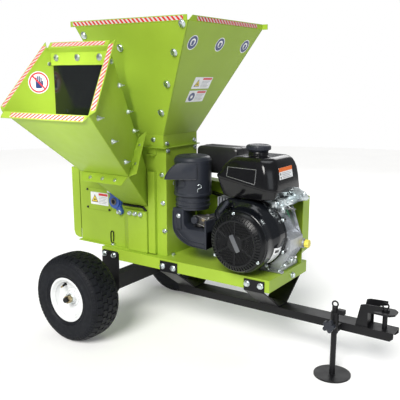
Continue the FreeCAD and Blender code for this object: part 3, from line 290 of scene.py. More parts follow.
gloss_rubber = plastic("gloss_rubber", (0.004, 0.005, 0.005), 0.14, (0.02, 0.02, 0.02), 300,
                       0.00001, 0.2, 0.5)
sheet_rubber = rubber("sheet_rubber", (0.006, 0.007, 0.007), 0.3)
yellow = plastic("yellow_plastic", (0.82, 0.72, 0.1), 0.38, (0.9, 0.85, 0.4))
wire_green = plastic("green_sleeve", (0.02, 0.35, 0.12), 0.4, (0.1, 0.5, 0.2))
tape = striped("red_white_tape", (0.64, 0.62, 0.61), (0.60, 0.012, 0.012), 0.018)
print_white = printed("print_white", (0.86, 0.87, 0.88))
print_red = printed("print_red", (0.68, 0.03, 0.03))
print_navy = printed("print_navy", (0.02, 0.045, 0.17))
print_black = printed("print_black", (0.012, 0.012, 0.014))
print_yellow = printed("print_yellow", (0.85, 0.65, 0.03))
print_orange = printed("print_orange", (0.8, 0.16, 0.02))
print_grey = printed("print_grey", (0.45, 0.47, 0.5))
print_silver = metal("silver_foil", (0.75, 0.75, 0.74), 0.25, (0.85, 0.85, 0.85))

SLOT_FINISH = {
    "lime_paint": lime, "frame_black": black_frame, "rim_white": white_rim, "zinc": zinc,
    "tyre_black": tyre_rubber, "tool_steel": steel, "rotor_iron": iron,
    "engine_black": engine_black, "bearing_blue": bearing_blue, "plastic_black": plastic_black,
    "tank_black": tank_black, "cast_aluminium": aluminium, "rubber_black": sheet_rubber,
    "dipstick_yellow": yellow,
}
NODE_FINISH = {"muffler": muffler_black, "wheel_nuts": brass, "carburettor": iron}
for subpart in frame["record"]["subparts"]:
    node, slot_name = subpart["node"], subpart["material_slot"]
    mesh = NODES[node].data
    mesh.materials.clear()
    mesh.materials.append(NODE_FINISH.get(node, SLOT_FINISH[slot_name]))


# --- building pieces ------------------------------------------------------------------------------

def unit(vector):
    """A direction of length one."""
    return Vector(vector).normalized()


AXES = {"X": (Vector((0, 1, 0)), Vector((0, 0, 1)), Vector((1, 0, 0))),
        "Y": (Vector((1, 0, 0)), Vector((0, 0, 1)), Vector((0, 1, 0))),
        "Z": (Vector((1, 0, 0)), Vector((0, 1, 0)), Vector((0, 0, 1)))}
TO_NEAR, TO_FAR, TO_HITCH, UP = (0, -1, 0), (0, 1, 0), (1, 0, 0), (0, 0, 1)


def axes_along(direction):
    """Two directions across a third one."""
    if isinstance(direction, str):
        return AXES[direction]
    along = unit(direction)
    helper = Vector(UP) if abs(along.z) < 0.9 else Vector(TO_HITCH)
    across = helper.cross(along).normalized()
    return across, along.cross(across), along


def hoop(centre, axes, radius, steps, first=0.0):
    """Points on a circle round a centre, across the third of the axes; first is in degrees."""
    across, up = axes[:2]
    angles = (math.radians(first) + 2 * math.pi * i / steps for i in range(steps))
    return [centre + (across * math.cos(a) + up * math.sin(a)) * radius for a in angles]


class Piece:
    """One visible piece: shapes in the machine's millimetres, gathered in one mesh."""

    def __init__(self, name, body, *materials):
        self.name, self.body, self.materials = name, body, materials
        self.mesh = bmesh.new()
        self.map = self.mesh.loops.layers.uv.new("UVMap")

    def take(self, part, paint, bevel=0.0, steps=2, angle=28):
        """Adds a small mesh, with its sharp edges rounded."""
        bmesh.ops.recalc_face_normals(part, faces=part.faces)
        if bevel:
            sharp = [e for e in part.edges if len(e.link_faces) == 2
                     and e.calc_face_angle(0.0) > math.radians(angle)]
            bmesh.ops.bevel(part, geom=sharp, offset=bevel, segments=steps, profile=0.5,
                            affect="EDGES", clamp_overlap=True)
        copies = {vertex: self.mesh.verts.new(vertex.co) for vertex in part.verts}
        source = part.loops.layers.uv.active
        for face in part.faces:
            made = self.mesh.faces.new([copies[v] for v in face.verts])
            made.material_index = paint
            made.smooth = True
            if source:
                for new, old in zip(made.loops, face.loops):
                    new[self.map].uv = old[source].uv
        part.free()
        return self

    def prism(self, outline, axis, start, end, bevel=0.0, paint=0, steps=2, angle=28):
        """An outline across an axis (its two coordinates), filled from start to end along it."""
        across, up, along = axes_along(axis)
        part = bmesh.new()
        low = [part.verts.new(across * u + up * v + along * start) for u, v in outline]
        high = [part.verts.new(across * u + up * v + along * end) for u, v in outline]
        part.faces.new(low)
        part.faces.new(high[::-1])
        for i in range(len(outline)):
            j = (i + 1) % len(outline)
            part.faces.new((low[i], high[i], high[j], low[j]))
        return self.take(part, paint, bevel, steps, angle)

    def block(self, low, high, bevel=0.0, paint=0, steps=2):
        """A box from corner to corner."""
        return self.prism(rectangle(low, high), "Z", low[2], high[2], bevel, paint, steps)

    def loft(self, rings, paint=0, bevel=0.0, closed=False, caps=True, angle=28):
        """Skin over rings of the same number of points."""
        part = bmesh.new()
        made = [[part.verts.new(Vector(p)) for p in ring] for ring in rings]
        pairs = list(zip(made, made[1:] + made[:1])) if closed else list(zip(made, made[1:]))
        for first, second in pairs:
            for i in range(len(first)):
                j = (i + 1) % len(first)
                part.faces.new((first[i], first[j], second[j], second[i]))
        if caps and not closed:
            part.faces.new(made[0][::-1])
            part.faces.new(made[-1])
        return self.take(part, paint, bevel, angle=angle)

    def lathe(self, profile, centre, axis, steps=48, paint=0, closed=False):
        """Turns a profile of (along the axis, away from it) round the axis."""
        axes = axes_along(axis)
        part = bmesh.new()
        rings = []
        for distance, radius in profile:
            middle_point = Vector(centre) + axes[2] * distance
            points = [middle_point] if radius < 0.01 else hoop(middle_point, axes, radius, steps)
            rings.append([part.verts.new(point) for point in points])
        pairs = list(zip(rings, rings[1:])) + ([(rings[-1], rings[0])] if closed else [])
        for first, second in pairs:
            for i in range(steps):
                j = (i + 1) % steps
                corners = [first[i % len(first)], first[j % len(first)], second[j % len(second)],
                           second[i % len(second)]]
                unique = list(dict.fromkeys(corners))
                if len(unique) > 2:
                    part.faces.new(unique)
        return self.take(part, paint)

    def tube(self, points, radius, steps=10, paint=0, round_ends=True):
        """A round rod along smooth points."""
        points = [Vector(p) for p in points]
        rings = []
        across = axes_along(points[1] - points[0])[0]
        for i, point in enumerate(points):
            ahead = points[min(i + 1, len(points) - 1)] - points[max(i - 1, 0)]
            ahead.normalize()
            across = (across - ahead * across.dot(ahead)).normalized()
            rings.append(hoop(point, (across, ahead.cross(across), ahead), radius, steps))
        return self.loft(rings, paint, caps=round_ends)

    def bolt(self, centre, outward, size=8.5, paint=0, washer=True, domed=False):
        """A flanged hexagon bolt head, or a domed head with a recess, on a surface."""
        if washer:
            self.lathe([(0, 0), (0, size * 1.32), (1.2, size * 1.32), (1.6, size * 1.22), (1.6, 0)],
                       centre, outward, 24, paint)
        if domed:
            dome = ((1.5, 1), (2.4, 0.99), (4.4, 0.84), (5.8, 0.55), (6.2, 0.42), (4.6, 0.36),
                    (4.4, 0))
            return self.lathe([(h, size * share) for h, share in dome], centre, outward, 24, paint)
        axes = axes_along(outward)
        rings = [hoop(Vector(centre) + axes[2] * height, axes, size, 6, 10)
                 for height in (1.5, 1.5 + size * 0.62)]
        return self.loft(rings, paint, bevel=size * 0.11)

    def build(self, sharp=32):
        """Makes the object in the row frame, on its body and with its materials."""
        for vertex in self.mesh.verts:
            vertex.co = START + vertex.co * MM
        data = bpy.data.meshes.new(self.name)
        self.mesh.to_mesh(data)
        self.mesh.free()
        for material in self.materials:
            data.materials.append(material)
        item = bpy.data.objects.new(self.name, data)
        bpy.context.scene.collection.objects.link(item)
        data.set_sharp_from_angle(angle=math.radians(sharp))
        if self.body:
            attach(item, self.body)
        return item


def rectangle(low, high):
    return [(low[0], low[1]), (high[0], low[1]), (high[0], high[1]), (low[0], high[1])]


def turned(outline, degrees, centre):
    """An outline turned round its origin, which is then moved to the centre."""
    c, s = math.cos(math.radians(degrees)), math.sin(math.radians(degrees))
    return [(centre[0] + x * c - y * s, centre[1] + x * s + y * c) for x, y in outline]


def radial(degrees):
    """The directions away from a vertical axis and across that."""
    a = math.radians(degrees)
    return Vector((math.cos(a), math.sin(a), 0)), Vector((-math.sin(a), math.cos(a), 0))


def circle(radius, centre, steps=40):
    """An outline for a prism or a sticker."""
    return [(centre[0] + radius * math.cos(a), centre[1] + radius * math.sin(a))
            for a in (2 * math.pi * i / steps for i in range(steps))]


def rounded(low, high, radius, steps=4):
    """A rectangle with round corners."""
    points = []
    for cx, cy, first in ((high[0] - radius, high[1] - radius, 0),
                          (low[0] + radius, high[1] - radius, 90),
                          (low[0] + radius, low[1] + radius, 180),
                          (high[0] - radius, low[1] + radius, 270)):
        for i in range(steps + 1):
            a = math.radians(first + 90 * i / steps)
            points.append((cx + radius * math.cos(a), cy + radius * math.sin(a)))
    return points


class Flat:
    """The largest flat part of a CAD node that faces one way, to lay things on."""

    def __init__(self, node, toward, where=None, cone=0.97, up=UP):
        mesh = NODES[node].data
        toward = unit(toward)
        groups = {}
        for face in mesh.polygons:
            if face.normal.dot(toward) < cone or (where and not where((face.center - START) / MM)):
                continue
            key = (*(round(c, 2) for c in face.normal), round(face.normal.dot(face.center), 3))
            groups.setdefault(key, []).append(face)
        faces = max(groups.values(), key=lambda group: sum(face.area for face in group))
        self.normal = sum((face.normal * face.area for face in faces), Vector()).normalized()
        self.points = [(mesh.vertices[i].co - START) / MM for face in faces for i in face.vertices]
        self.base = self.points[0]
        self.turn(Vector(up).cross(self.normal))

    def turn(self, across):
        """Sets the direction of the flat's first coordinate."""
        self.across = unit(across)
        self.up = self.normal.cross(self.across)
        self.flat = [self.place(p) for p in self.points]
        self.low = (min(u for u, v in self.flat), min(v for u, v in self.flat))
        self.high = (max(u for u, v in self.flat), max(v for u, v in self.flat))

    def place(self, point):
        """The flat's own coordinates of a point."""
        away = Vector(point) - self.base
        return away.dot(self.across), away.dot(self.up)

    def along_edge(self):
        """Turns the first coordinate along the longest outer edge."""
        points = sorted(set((round(u, 2), round(v, 2)) for u, v in self.flat))
        hull = []
        for ordered in (points, points[::-1]):
            part = []
            for u, v in ordered:
                while len(part) > 1:
                    (u0, v0), (u1, v1) = part[-2:]
                    if (u1 - u0) * (v - v0) - (v1 - v0) * (u - u0) > 0.01:
                        break
                    part.pop()
                part.append((u, v))
            hull += part[:-1]
        edges = [(b[0] - a[0], b[1] - a[1]) for a, b in zip(hull, hull[1:] + hull[:1])]
        longest = max(edges, key=lambda edge: math.hypot(*edge))
        self.turn(self.across * longest[0] + self.up * longest[1])
        return self

    def spot(self, u, v, lift=0.0):
        """The point at the flat's own coordinates, lifted off it."""
        return self.base + self.across * u + self.up * v + self.normal * lift


# --- camera and lights, first, because they frame everything --------------------------------------

def look_from(name, point, azimuth, down, roll):
    """Azimuth 0 looks along +Y; down is the angle below the horizon; all in degrees."""
    a, e = math.radians(azimuth), math.radians(down)
    back = Vector((math.sin(a) * math.cos(e), -math.cos(a) * math.cos(e), math.sin(e)))
    camera = bpy.data.objects.new(name, bpy.data.cameras.new(name))
    bpy.context.scene.collection.objects.link(camera)
    camera.rotation_mode = "QUATERNION"
    turn = (-back).to_track_quat("-Z", "Y")
    camera.rotation_quaternion = turn @ Matrix.Rotation(math.radians(roll), 3, "Z").to_quaternion()
    camera.location = at(*point)
    return camera


camera = look_from("camera", (1603.9, -1845.3, 972.1), azimuth=33.92, down=11.98, roll=0.1)
camera.data.sensor_width = 36
camera.data.lens = 54.8
camera.data.shift_x = -0.0156
camera.data.shift_y = 0.011
bpy.context.scene.camera = camera


def soft_lamp(name, place, target, size, power, colour=(1, 1, 1)):
    """A rectangular lamp that points at a target."""
    data = bpy.data.lights.new(name, "AREA")
    data.shape = "RECTANGLE"
    data.size, data.size_y = size
    data.energy = power
    data.color = colour
    lamp = bpy.data.objects.new(name, data)
    bpy.context.scene.collection.objects.link(lamp)
    lamp.location = place
    lamp.rotation_mode = "QUATERNION"
    lamp.rotation_quaternion = (Vector(target) - Vector(place)).to_track_quat("-Z", "Y")
    return lamp


WARM, COOL, COOLER = (1.0, 0.985, 0.955), (0.95, 0.98, 1.0), (0.88, 0.94, 1.0)
heart = (cad_box[0] + cad_box[1]) / 2
sun = bpy.data.objects.new("key_lamp", bpy.data.lights.new("key_lamp", "SUN"))
bpy.context.scene.collection.objects.link(sun)
sun.data.energy = 3.7
sun.data.angle = math.radians(28)
sun.data.color = WARM
sun.rotation_mode = "QUATERNION"
sun.rotation_quaternion = Vector((-0.2, 0.77, -0.61)).to_track_quat("-Z", "Y")
soft_lamp("top_lamp", heart + Vector((0.3, 0.2, 3.4)), heart, (1.2, 2.2), 22, COOL)
soft_lamp("front_lamp", heart + Vector((3.0, -1.4, 0.9)), heart, (0.7, 1.8), 6, COOLER)
mouth = middle("chute_sides")
mouth_lamp = soft_lamp("mouth_lamp", mouth + Vector((0.97, -1.45, 0.3)),
                       mouth + Vector((-0.06, 0, 0.02)), (0.2, 0.2), 0.55)
mouth_lamp.data.spread = math.radians(16)
soft_lamp("back_lamp", heart + Vector((-0.8, 3.2, 1.8)), heart, (2.0, 1.6), 30)

world = bpy.data.worlds.new("studio")
bpy.context.scene.world = world
world.use_nodes = True
tree = world.node_tree
sky = tree.nodes["Background"]
sky.inputs["Color"].default_value = (0.93, 0.96, 1.0, 1.0)
sky.inputs["Strength"].default_value = 0.24
seen = tree.nodes.new("ShaderNodeBackground")
seen.inputs["Color"].default_value = (1.0, 1.0, 1.0, 1.0)
seen.inputs["Strength"].default_value = 1.0
choose = tree.nodes.new("ShaderNodeMixShader")
rays = tree.nodes.new("ShaderNodeLightPath")
tree.links.new(rays.outputs["Is Camera Ray"], choose.inputs["Fac"])
tree.links.new(sky.outputs["Background"], choose.inputs[1])
tree.links.new(seen.outputs["Background"], choose.inputs[2])
tree.links.new(choose.outputs["Shader"], tree.nodes["World Output"].inputs["Surface"])
bpy.context.scene.view_settings.view_transform = "Standard"

pale = Finish("pale_floor", (0.93, 0.93, 0.93), 0.6, specular=0.1)
pale.shader.inputs["Emission Color"].default_value = (1.0, 1.0, 1.0, 1.0)
pale.shader.inputs["Emission Strength"].default_value = 0.12
pale.vary(3, 0.01)
floor = Piece("floor", None, pale.done(8, 0.03))
floor_place = (heart - START) / MM
floor_place.z = -0.4
floor.lathe([(0, 0), (0, 2500), (0, 6500)], floor_place, "Z", 96)
floor.build()


# --- wheels ---------------------------------------------------------------------------------------

def crown(across, outer):
    """The tread's radius at a distance from the tyre's middle."""
    return outer - 10 * abs(across / 56) ** 4


def rim_point(degrees, radius, across):
    """A point seen from the wheel's centre; 0 degrees is up."""
    a = math.radians(degrees)
    return Vector((math.sin(a) * radius, across, math.cos(a) * radius))


def tread_block(piece, centre, corners, outer, depth):
    """One rubber block; its corners are (angle in degrees, distance from the middle)."""
    mid_angle = sum(a for a, v in corners) / len(corners)
    mid_across = sum(v for a, v in corners) / len(corners)
    rings = []
    for sink, shrink in ((depth, 1.03), (0.9, 1.0), (0.0, 0.93)):
        spots = [(mid_angle + (a - mid_angle) * shrink, mid_across + (v - mid_across) * shrink)
                 for a, v in corners]
        rings.append([centre + rim_point(a, crown(v, outer) - sink, v) for a, v in spots])
    piece.loft(rings)


def make_tyre(side):
    """A turf tyre: a turned carcass, rows of zigzag blocks, and blocks round its shoulders."""
    low, high = span("tyre_" + side)
    centre = (low + high) / 2
    outer = (high.x - low.x) / 2
    piece = Piece("tyre_%s_turf" % side, "wheel_" + side, tyre_rubber)
    depth = 4.2
    wall = [(44, 74), (51, 78), (57, 83.5), (59.2, 86), (58.4, 90), (61.5, 95), (63, 96.5),
            (63.2, 99), (62.6, 100.5), (64.2, 110), (64.9, 119), (64.7, 128), (64.0, 134),
            (64.6, 136), (64.4, 138), (62.6, 142), (59.2, 148), (56, 151.5)]
    tread = [(v, crown(v, outer) - depth) for v in (48, 38, 26, 13, 0, -13, -26, -38, -48)]
    inside = [(-44, 76), (-52, 100), (-50, 138), (-38, 149), (38, 149), (50, 138), (52, 100),
              (44, 76)]
    piece.lathe(wall + tread + [(-v, r) for v, r in reversed(wall)] + inside, centre, "Y", 120,
                closed=True)
    blocks, groove, gap, wave = 36, 1.3, 0.5, 5.5
    pitch = 360 / blocks
    edges = (-56, -34.5, -11.5, 11.5, 34.5, 56)
    for row, (left, right) in enumerate(zip(edges, edges[1:])):
        left, right = left + groove, right - groove
        left_wave = wave / 2 if row > 0 else 0
        right_wave = wave / 2 if row < len(edges) - 2 else 0
        for k in range(blocks):
            start = pitch * (k + 0.5 * (row % 2)) + gap
            crest, end = start - gap + pitch / 2, start + pitch - 2 * gap
            corners = [(start, left - left_wave), (crest, left + left_wave),
                       (end, left - left_wave), (end, right - right_wave),
                       (crest, right + right_wave), (start, right - right_wave)]
            tread_block(piece, centre, corners, outer, depth + 0.8)
    shoulder = ((-1.5, 56.5, 150.5), (1.5, 56.5, 150.5), (1.2, 62.5, 141.5), (-1.2, 62.5, 141.5))
    for sign in (-1, 1):
        for k in range(2 * blocks):
            a = (k + 0.5) * pitch / 2
            piece.loft([[centre + rim_point(a + off, r + lift * 0.6, sign * (v + lift * 0.35))
                         for off, v, r in shoulder] for lift in (0.0, 3.4)], bevel=0.6)
    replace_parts(piece.build(), "tyre_" + side)


def make_wheel_fittings(side, sign):
    """A rim's valve, its rolled seams and its rivets."""
    centre = centre_of("rim_" + side)
    valve_angle = -28
    base = centre + rim_point(valve_angle, 56, sign * 33)
    along = unit(rim_point(valve_angle, -0.25, sign))
    valve = Piece("valve_" + side, "wheel_" + side, sheet_rubber, brass)
    valve.lathe([(-4, 0), (-4, 6.5), (0, 6.5), (4, 4.6), (17, 3.9), (18, 0)], base, along, 20)
    valve.lathe([(17.5, 0), (17.5, 3.1), (24, 3.1), (25, 2.4), (25, 0)], base, along, 16, 1)
    valve.build()
    ribs = Piece("rim_%s_seams" % side, "wheel_" + side, white_rim)
    for offset, radius in ((sign * 24.6, 29), (sign * 47.4, 68.4)):
        section = rectangle((radius - 1.3, offset - 0.9), (radius + 1.3, offset + 0.9))
        ribs.lathe([(along, away) for away, along in section], centre, "Y", 60, closed=True)
    for k in range(5):
        ribs.bolt(centre + rim_point(72 * (k + 0.25), 29, sign * 22.4), (0, sign, 0), 3.6,
                  washer=False, domed=True)
    ribs.build()


def make_wheel_nuts():
    """A castle nut with its split pin on each end of the axle."""
    low, high = span("wheel_nuts")
    nuts = Piece("castle_nuts", "chassis", brass, zinc)
    for sign, face in ((-1, low.y + 18.0), (1, high.y - 18.0)):
        centre = Vector(((low.x + high.x) / 2, face, (low.z + high.z) / 2))
        outward = (0, sign, 0)
        nuts.lathe([(0, 10.2), (0, 19), (2.4, 19), (3, 18.4), (3, 10.2)], centre, outward, 36, 1,
                   closed=True)
        axes = across, up, along = axes_along(outward)
        start = centre + along * 3.2
        nuts.loft([hoop(start + along * h, axes, 15.6 * share, 6)
                   for h, share in ((0, 1.0), (9.6, 1.0), (10.6, 0.93))])
        for k in range(6):
            a, b = math.radians(60 * k + 9), math.radians(60 * k + 51)
            sector = [(r * math.cos(t), r * math.sin(t)) for r, t in
                      ((10.4, a), (14.2, a), (14.4, (a + b) / 2), (14.2, b), (10.4, b))]
            nuts.loft([[start + across * u + up * v + along * h for u, v in sector]
                       for h in (10, 14.6)], bevel=0.4)
        pin = start + along * 12.6
        nuts.tube([pin - up * 17, pin, pin + up * 17], 1.5, 8, 1)
        nuts.lathe([(-1.5, 0), (-1.5, 3.2), (1.5, 3.2), (1.5, 0)], pin + up * 17, across, 14, 1)
    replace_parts(nuts.build(), "wheel_nuts")


for side, sign in (("near", -1), ("far", 1)):
    make_tyre(side)
    make_wheel_fittings(side, sign)
make_wheel_nuts()


# --- chute and hopper -----------------------------------------------------------------------------

def stick(piece, flat, outline, lift=0.25, paint=0, thick=0.3, lean=1):
    """A thin sticker on a flat part, with a map in metres; a lean of -1 turns its stripes over."""
    part = bmesh.new()
    uv = part.loops.layers.uv.new("UVMap")
    rings = [[part.verts.new(flat.spot(u, v, lift + h)) for u, v in outline] for h in (0.0, thick)]
    faces = [part.faces.new(rings[1])]
    for i in range(len(outline)):
        j = (i + 1) % len(outline)
        faces.append(part.faces.new((rings[0][i], rings[0][j], rings[1][j], rings[1][i])))
    places = {}
    for ring in rings:
        places.update((vertex, (u * MM, v * MM * lean)) for vertex, (u, v) in zip(ring, outline))
    for face in faces:
        for loop in face.loops:
            loop[uv].uv = places[loop.vert]
    return piece.take(part, paint)


def tape_strip(name, body, flat, margin_start, margin_end, lean=1, share=0.7):
    """Warning tape along a lip, inside its ends."""
    middle_v = (flat.low[1] + flat.high[1]) / 2
    half = (flat.high[1] - flat.low[1]) * share / 2
    piece = Piece(name, body, tape)
    left, right = flat.low[0] + margin_start, flat.high[0] - margin_end
    stick(piece, flat, rectangle((left, middle_v - half), (right, middle_v + half)), lean=lean)
    return piece.build()


MOUTH = (0, -0.805, 0.593)
tape_strip("tape_chute_floor", "chassis", Flat("chute_floor", MOUTH).along_edge(), 14, 44, -1)
tape_strip("tape_chute_roof", "chassis", Flat("chute_roof", MOUTH).along_edge(), 14, 18, -1)
chute_middle = centre_of("chute_floor").x
for side, before in (("rear", True), ("front", False)):
    lip = Flat("chute_sides", MOUTH, lambda p: (p.x < chute_middle) == before).along_edge()
    tape_strip("tape_chute_" + side, "chassis", lip, 16, 16)
for side, sign in (("near", -1), ("far", 1)):
    hem = Flat("hopper_cheeks", (0, sign, 0), lambda p: p.y * sign > 0, 0.995).along_edge()
    tape_strip("tape_hopper_" + side, "chassis", hem, 12, 14)
for side, sign in (("rear", -1), ("front", 1)):
    hem = Flat("hopper_ends", (sign, 0, 0), lambda p: (p.x > 200) == (sign > 0), 0.995).along_edge()
    tape_strip("tape_hopper_" + side, "chassis", hem, 46, 40)


def pane(piece, flat, origin, scale, box, corner, lift=0.25, paint=0):
    """A rounded rectangle on a sign; its box (left, low, right, high) is in shares of the scale."""
    (u, v), (wide, tall) = origin, scale
    left, low, right, high = box
    outline = rounded((u + left * wide, v + low * tall), (u + right * wide, v + high * tall),
                      corner)
    stick(piece, flat, outline, lift, paint)


def ring_sign(piece, flat, u, v, radius):
    """A round sign: a band round a plain field with an open hand, crossed out."""
    stick(piece, flat, circle(radius, (u, v)))
    steps = 44
    for k in range(steps):
        a, b = 2 * math.pi * k / steps, 2 * math.pi * (k + 1) / steps
        quad = [(u + r * math.cos(t), v + r * math.sin(t)) for r, t in
                ((radius * 0.92, a), (radius * 0.92, b), (radius * 0.78, b), (radius * 0.78, a))]
        stick(piece, flat, quad, 0.5, 1)
    palm, thumb = (-0.3, -0.52, 0.3, 0.04, 0.12), (0.3, -0.3, 0.42, 0.14, 0.05)
    fingers = [(-0.3 + 0.16 * k, -0.04, -0.19 + 0.16 * k, tip, 0.05)
               for k, tip in enumerate((0.46, 0.58, 0.58, 0.46))]
    for *box, corner in (palm, *fingers, thumb):
        pane(piece, flat, (u, v), (radius, radius), box, radius * corner, 0.5, 2)
    bar = rectangle((-radius * 0.82, -radius * 0.07), (radius * 0.82, radius * 0.07))
    stick(piece, flat, turned(bar, -45, (u, v)), 0.75, 1)


def blue_sign(piece, flat, u, v, radius):
    """A round blue sign: a white field with a plain head on it."""
    stick(piece, flat, circle(radius, (u, v)))
    stick(piece, flat, circle(radius * 0.88, (u, v)), 0.5, 1)
    stick(piece, flat, circle(radius * 0.5, (u, v + radius * 0.06)), 0.75, 0)
    pane(piece, flat, (u, v), (radius, radius), (-0.26, -0.34, 0.26, 0.3), radius * 0.12, 1.0, 1)


def plain_label(piece, flat, u, v, width, height, band, triangle):
    """A blank printed label: a coloured band, a plain symbol field and some grey bars."""
    place, scale = (u, v), (width, height)
    pane(piece, flat, place, scale, (0, 0, 1, 1), 2.5)
    pane(piece, flat, place, scale, (0.46, 0.76, 0.96, 0.94), 1, 0.5, band)
    for k in range(5):
        low = 0.62 - 0.12 * k
        pane(piece, flat, place, scale, (0.46, low, 0.9 - 0.05 * (k % 3), low + 0.045), 0.6, 0.5, 5)
    mid_u, mid_v = u + width * 0.24, v + height * 0.45
    if triangle:
        size = height * 0.36
        for wide, foot, tip, lift, paint in ((1, 0.7, 1, 0.5, 4), (0.76, 0.56, 0.74, 0.75, 3)):
            stick(piece, flat, [(mid_u - size * wide, mid_v - size * foot),
                                (mid_u + size * wide, mid_v - size * foot),
                                (mid_u, mid_v + size * tip)], lift, paint)
        stick(piece, flat, circle(size * 0.22, (mid_u, mid_v - size * 0.15), 16), 1.0, 4)
    else:
        stick(piece, flat, circle(height * 0.37, (mid_u, mid_v)), 0.5, 2)
        stick(piece, flat, circle(height * 0.14, (mid_u, mid_v), 20), 0.75, 0)


SIGN_PAINTS = (print_white, print_red, print_navy, print_yellow, print_black, print_grey)
inner_side = Flat("chute_sides", (0.93, -0.2, -0.2), lambda p: p.x < chute_middle, 0.9)
hand_sign = Piece("sign_no_hands", "chassis", print_white, print_red, print_navy)
ring_sign(hand_sign, inner_side, *inner_side.place((-44, -416, 947)), 37)
hand_sign.build()

hopper_front = Flat("hopper_ends", (0.878, 0, -0.478), lambda p: p.x > 200, 0.98)
blue_signs = Piece("signs_blue", "chassis", print_white, print_navy)
for y in (-176, -13, 156):
    blue_sign(blue_signs, hopper_front, *hopper_front.place((427, y, 1076)), 26)
blue_signs.build()
labels = Piece("labels_hopper", "chassis", *SIGN_PAINTS)
plain_label(labels, hopper_front, *hopper_front.place((345, -72, 925)), 110, 46, 1, True)
plain_label(labels, hopper_front, *hopper_front.place((320, -72, 878)), 107, 46, 1, False)
labels.build()

door = Flat("inspection_cover", TO_NEAR, None, 0.99)
label = Piece("label_door", "chassis", *SIGN_PAINTS)
plain_label(label, door, *door.place((-123, 0, 465)), 95, 50, 1, True)
label.build()
door_screws = Piece("door_screws", "chassis", print_black)
for x, z in ((-139, 523), (-139, 451), (-23, 451), (-23, 523)):
    door_screws.bolt((x, span("inspection_cover")[0].y, z), TO_NEAR, 4.6, washer=False, domed=True)
door_screws.build()


# --- engine ---------------------------------------------------------------------------------------

def curve(points, steps=8):
    """A smooth line through points."""
    points = [Vector(p) for p in points]
    ends = [points[0] * 2 - points[1]] + points + [points[-1] * 2 - points[-2]]
    line = []
    for a, b, c, d in zip(ends, ends[1:], ends[2:], ends[3:]):
        for k in range(steps):
            t = k / steps
            line.append(((b * 2) + (c - a) * t + (a * 2 - b * 5 + c * 4 - d) * t ** 2
                         + (b * 3 - a - c * 3 + d) * t ** 3) * 0.5)
    return line + [points[-1]]


def around(centre, radius, degrees, along=0.0):
    """A point on a circle across the Y axis; 0 degrees is towards the hitch and 90 is up."""
    a = math.radians(degrees)
    return Vector((centre.x + radius * math.cos(a), centre.y + along,
                   centre.z + radius * math.sin(a)))


def bar_between(piece, start, end, across, width, low, high, paint=0, bevel=0.0):
    """A straight bar with a rectangular section; low and high are heights along Y."""
    side = Vector(across).normalized() * width / 2
    corners = ((-1, low), (1, low), (1, high), (-1, high))
    rings = [[Vector(p) + side * way + Vector((0, y, 0)) for way, y in corners]
             for p in (start, end)]
    piece.loft(rings, paint, bevel)


CRANKSHAFT, ROTOR = Vector((603, 0, 430)), Vector((16, 0, 492))
cover_black = plastic("recoil_cover_plastic", (0.003, 0.0035, 0.0045), 0.3, (0.04, 0.045, 0.05),
                      specular=0.3)
# Painted shade: a near-black matt plastic for flat faces that stand in for the shade inside a
# recess or a hole.
painted_hole_shade = plastic("dark_inside_plastic", (0.002, 0.002, 0.0025), 0.7, (0.004, 0.004, 0.004))
badge_grey = printed("badge_grey", (0.10, 0.105, 0.115))


def grille_bars(piece, centre, sector, inner, outer, low, high):
    """Slanted parallel bars that fill one sector between two spokes."""
    lean = math.radians(sector + 135)
    along, across = (math.cos(lean), math.sin(lean)), (-math.sin(lean), math.cos(lean))
    pitch, step, width, gap = 5.2, 1.5, 2.3, 2.4
    for row in range(-14, 15):
        run = []
        for k in range(-50, 51):
            x = across[0] * row * pitch + along[0] * k * step
            z = across[1] * row * pitch + along[1] * k * step
            reach = math.hypot(x, z)
            off = (math.degrees(math.atan2(z, x)) - sector + 180) % 360 - 180
            spoke_gap = reach * math.sin(math.radians(30 - abs(off)))
            inside = inner < reach < outer and abs(off) < 30 and spoke_gap > gap
            if inside:
                run.append((x, z))
            if run and (not inside or k == 50):
                if len(run) > 3:
                    ends = [centre + Vector((x, 0, z)) for x, z in (run[0], run[-1])]
                    bar_between(piece, *ends, (across[0], 0, across[1]), width, low, high)
                run = []


def make_recoil():
    """The recoil starter's cover: a stepped ring, a ribbed band, six spokes and a grille."""
    centre = centre_of("recoil_cover")
    centre.y = span("recoil_cover")[0].y
    cover = Piece("recoil_grille", "chassis", cover_black, zinc, painted_hole_shade, badge_grey)
    cover.lathe([(26.7, 98), (26.7, 104.5), (23.5, 104.4), (18.5, 102.4), (13.5, 99.4), (9.8, 96.6),
                 (8.4, 94.9), (9.4, 94.0), (12.8, 93.6), (5.2, 80.5), (1.2, 80.1), (0.2, 79.2),
                 (0, 78.2), (0, 74.2), (0.6, 73.0), (5.6, 72.4)], centre, "Y", 96)
    # The flat disc behind the grille is painted shade, darker than the cover's plastic.
    cover.lathe([(5.6, 73), (5.6, 0)], centre, "Y", 48, 2)
    ribs, half = 54, 1.75
    for k in range(ribs):
        cover.loft([[around(centre, r, 360 * k / ribs + side * half, top + lift)
                     for side, lift in ((-1, 0), (1, 0), (1, 4.4), (-1, 4.4))]
                    for r, top in ((80, 0.9), (94.6, 8.7))])
    for k in range(6):
        spoke = 30 + 60 * k
        ends = (around(centre, 25, spoke), around(centre, 74, spoke))
        bar_between(cover, *ends, around(Vector(), 1, spoke + 90), 5.4, 1.0, 5.8)
        grille_bars(cover, centre, 60 * k, 27, 73.2, 1.6, 5.8)
    cover.lathe([(5.6, 28.5), (1.6, 28.5), (0.6, 27.4), (0.4, 26), (0.4, 0)], centre, "Y", 36)
    badge = turned(rounded((-31, -8.5), (31, 8.5), 4), -62, (centre.x, centre.z))
    cover.prism(badge, "Y", centre.y - 0.4, centre.y + 5, 0.4, 3)
    for angle in (97, -33, 213):
        cover.bolt(around(centre, 98.6, angle, 11.6), TO_NEAR, 4.6, 1, domed=True)
    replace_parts(cover.build(), "recoil_cover")


